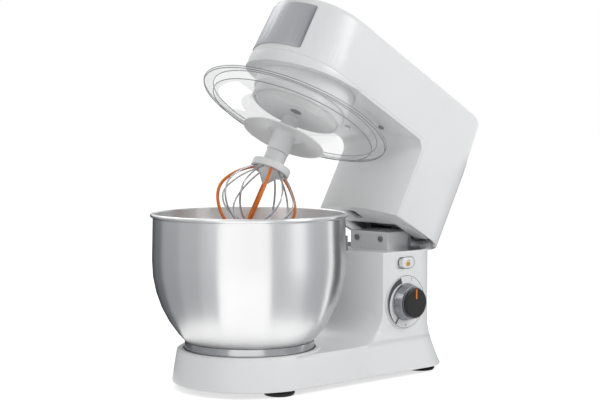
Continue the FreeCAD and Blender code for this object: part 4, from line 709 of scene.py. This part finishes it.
def paint_frame(finish):
    """Finishes for the CAD nodes that show as they are, and for the works inside."""
    paint(finish["body"], "bowl_seat", "gearbox_housing")
    paint(finish["foot_steel"], "bowl_foot")
    paint(finish["satin"], "planet_carrier")
    paint(finish["wire"], "steel_wires")
    paint(finish["orange"], "coated_wires")
    paint(finish["rubber"], "cord_gland", "drive_belt")
    paint(finish["alloy"], "head_chassis", "motor_frame", "large_pulley")
    paint(
        finish["machined"], "beater_shaft", "carrier_shaft", "drive_pin", "motor_shaft", "motor_pulley",
        "hinge_pin", "hinge_arm_left", "hinge_arm_right", "hinge_bracket_left", "hinge_bracket_right",
        "base_screws", "tower_screws", "head_screws", "motor_bearings", "latch_hook", "lock_bar", "planet_gear",
        "ring_gear", "knob_shaft")
    paint(
        finish["brass"], "carrier_bushes", "hinge_bush_left", "hinge_bush_right", "brush_holders",
        "motor_rotor")
    paint(finish["dark"], "base_plate", "speed_switch", "motor_fan")
    paint(finish["board"], "control_board")


# Studio

def make_floor():
    """A pale floor that is white to the camera and in reflections, and keeps the soft shadow."""
    tint = bpy.context.scene.mixer_colours.floor
    material, tree, shader = begin("studio_floor", [channel * FLOOR_SHADE for channel in tint], 0, 0.9)
    path = add(tree, "LightPath")
    glow = add(tree, "Emission", {"Color": (*tint, 1), "Strength": FLOOR_GLOW})
    lit = add(tree, "AddShader", {0: shader.outputs[0], 1: glow.outputs[0]})
    seen = add(
        tree, "Math", {0: path.outputs["Is Camera Ray"], 1: path.outputs["Is Glossy Ray"]}, operation="MAXIMUM")
    mixed = add(tree, "MixShader", {0: seen.outputs[0], 1: shader.outputs[0], 2: lit.outputs[0]})
    tree.links.new(mixed.outputs[0], tree.nodes["Material Output"].inputs["Surface"])
    work = bmesh.new()
    bmesh.ops.create_grid(work, x_segments=1, y_segments=1, size=FLOOR_HALF)
    floor = mesh_object(work, "studio_floor", material)


def make_world():
    """A background that is white to the camera and in reflections, and a softer light on the object."""
    world = bpy.data.worlds.new("studio_world")
    bpy.context.scene.world = world
    world.use_nodes = True
    world.cycles.sampling_method = "NONE"
    tree = world.node_tree
    path = add(tree, "LightPath")
    seen = add(
        tree, "Math", {0: path.outputs["Is Camera Ray"], 1: path.outputs["Is Transmission Ray"]},
        operation="MAXIMUM")
    shown = add(tree, "Math", {0: seen.outputs[0], 1: path.outputs["Is Glossy Ray"]}, operation="MAXIMUM")
    strength = add(tree, "MapRange", {"Value": shown.outputs[0], "To Min": WORLD_LIGHT, "To Max": 1.0})
    tree.nodes["Background"].inputs["Color"].default_value = (1, 1, 1, 1)
    tree.links.new(strength.outputs["Result"], tree.nodes["Background"].inputs["Strength"])


def make_lamps():
    """Soft rectangular lamps, aimed at the mixer."""
    for name, spot, target, size, power, reflected in LAMPS:
        light = bpy.data.lights.new(name, "AREA")
        light.shape = "RECTANGLE"
        light.size, light.size_y = size
        light.energy = power
        lamp = bpy.data.objects.new(name, light)
        lamp.visible_glossy = reflected
        lamp.location = spot
        lamp.rotation_euler = (Vector(target) - Vector(spot)).to_track_quat("-Z", "Y").to_euler()
        bpy.context.scene.collection.objects.link(lamp)


def make_flags():
    """Grey cards that only reflections see, stood round the mixer."""
    for number, (start, stop, section, code) in enumerate(FLAGS):
        name = f"grey_flag_{number}"
        material = bpy.data.materials.new(name)
        material.use_nodes = True
        tree = material.node_tree
        glow = add(tree, "Emission", {"Color": (*linear(code), 1), "Strength": 1})
        tree.links.new(glow.outputs[0], tree.nodes["Material Output"].inputs["Surface"])
        work = bmesh.new()
        line = [work.verts.new((0, -reach, height)) for reach, height in section]
        sides = [work.edges.new(pair) for pair in zip(line, line[1:])]
        bmesh.ops.spin(
            work, geom=line + sides, cent=(0, 0, 0), axis=(0, 0, 1), angle=math.radians(stop - start), steps=8,
            use_merge=False)
        turn = bpy.context.scene.mixer_sizes.camera_turn + math.radians(start)
        bmesh.ops.rotate(work, cent=(0, 0, 0), matrix=Matrix.Rotation(turn, 3, "Z"), verts=work.verts)
        bmesh.ops.translate(work, vec=BOWL_AXIS, verts=work.verts)
        card = mesh_object(work, name, material)
        card.visible_camera = False
        card.visible_diffuse = False
        card.visible_shadow = False
        card.visible_transmission = False


def make_camera():
    """The camera that was fitted to the photograph."""
    sizes = bpy.context.scene.mixer_sizes
    turn, pan, dip = sizes.camera_turn, sizes.camera_pan, sizes.camera_dip
    back = Vector((math.sin(turn), -math.cos(turn), 0))
    right = Vector((math.cos(turn), math.sin(turn), 0))
    view = -back * math.cos(pan) + right * math.sin(pan)
    view = view * math.cos(dip) - Vector((0, 0, math.sin(dip)))
    data = bpy.data.cameras.new("photo_camera")
    data.lens = sizes.camera_lens
    data.sensor_width = 36
    camera = bpy.data.objects.new("photo_camera", data)
    camera.location = BOWL_AXIS + back * sizes.camera_distance + Vector((0, 0, sizes.camera_height))
    camera.rotation_euler = view.to_track_quat("-Z", "Y").to_euler()
    bpy.context.scene.collection.objects.link(camera)
    bpy.context.scene.camera = camera


# Operators; the first one fills the finishes that the others use

finishes = {}


class MIXER_OT_finishes(bpy.types.Operator):
    """Make the mixer's materials and paint the frame's own pieces"""
    bl_idname = "mixer.finishes"
    bl_label = "Finishes"

    def execute(self, context):
        finishes.update(make_materials())
        paint_frame(finishes)
        return {"FINISHED"}


class MIXER_OT_shells(bpy.types.Operator):
    """Add the moulded shells of base, tower and head, with the trim and the neck's details"""
    bl_idname = "mixer.shells"
    bl_label = "Shells"

    def execute(self, context):
        make_shells(finishes)
        make_base(finishes)
        make_trim(finishes)
        make_head_details(finishes)
        return {"FINISHED"}


class MIXER_OT_bowl(bpy.types.Operator):
    """Add the pressed steel bowl"""
    bl_idname = "mixer.bowl"
    bl_label = "Bowl"

    def execute(self, context):
        make_bowl(finishes)
        return {"FINISHED"}


class MIXER_OT_guard(bpy.types.Operator):
    """Add the clear splash guard"""
    bl_idname = "mixer.guard"
    bl_label = "Splash guard"

    def execute(self, context):
        make_guard(finishes)
        return {"FINISHED"}


class MIXER_OT_whisk(bpy.types.Operator):
    """Add the drip cap and the whisk's hub"""
    bl_idname = "mixer.whisk"
    bl_label = "Whisk"

    def execute(self, context):
        make_whisk(finishes)
        return {"FINISHED"}


class MIXER_OT_controls(bpy.types.Operator):
    """Add the speed knob, its dial and the head lock"""
    bl_idname = "mixer.controls"
    bl_label = "Controls"

    def execute(self, context):
        make_knob(finishes)
        make_dial(finishes)
        make_lock(finishes)
        return {"FINISHED"}


class MIXER_OT_feet(bpy.types.Operator):
    """Add the rubber feet"""
    bl_idname = "mixer.feet"
    bl_label = "Feet"

    def execute(self, context):
        make_feet(finishes)
        return {"FINISHED"}


class MIXER_OT_stage(bpy.types.Operator):
    """Add the floor, the light, the grey cards and the camera"""
    bl_idname = "mixer.stage"
    bl_label = "Stage"

    def execute(self, context):
        make_floor()
        make_world()
        make_lamps()
        make_flags()
        make_camera()
        context.scene.view_settings.view_transform = "Standard"
        return {"FINISHED"}


class MIXER_PT_panel(bpy.types.Panel):
    """The mixer's pieces in the sidebar"""
    bl_idname = "MIXER_PT_panel"
    bl_label = "Mixer"
    bl_space_type = "VIEW_3D"
    bl_region_type = "UI"
    bl_category = "Mixer"

    def draw(self, context):
        for operator in operators:
            self.layout.operator(operator.bl_idname)
        for group in (context.scene.mixer_sizes, context.scene.mixer_colours):
            for name in group.__annotations__:
                self.layout.prop(group, name)


operators = (
    MIXER_OT_finishes, MIXER_OT_shells, MIXER_OT_bowl, MIXER_OT_guard, MIXER_OT_whisk, MIXER_OT_controls,
    MIXER_OT_feet, MIXER_OT_stage)
classes = (MixerColours, MixerSizes) + operators + (MIXER_PT_panel,)


def register():
    """Adds the classes and the scene's properties."""
    for item in classes:
        bpy.utils.register_class(item)
    bpy.types.Scene.mixer_colours = PointerProperty(type=MixerColours)
    bpy.types.Scene.mixer_sizes = PointerProperty(type=MixerSizes)


def unregister():
    """Takes the scene's properties and the classes away again."""
    del bpy.types.Scene.mixer_sizes
    del bpy.types.Scene.mixer_colours
    for item in reversed(classes):
        bpy.utils.unregister_class(item)


def main():
    """Builds every piece and the stage."""
    register()
    bpy.ops.mixer.finishes()
    bpy.ops.mixer.shells()
    bpy.ops.mixer.bowl()
    bpy.ops.mixer.guard()
    bpy.ops.mixer.whisk()
    bpy.ops.mixer.controls()
    bpy.ops.mixer.feet()
    bpy.ops.mixer.stage()


if __name__ == "__main__":
    main()
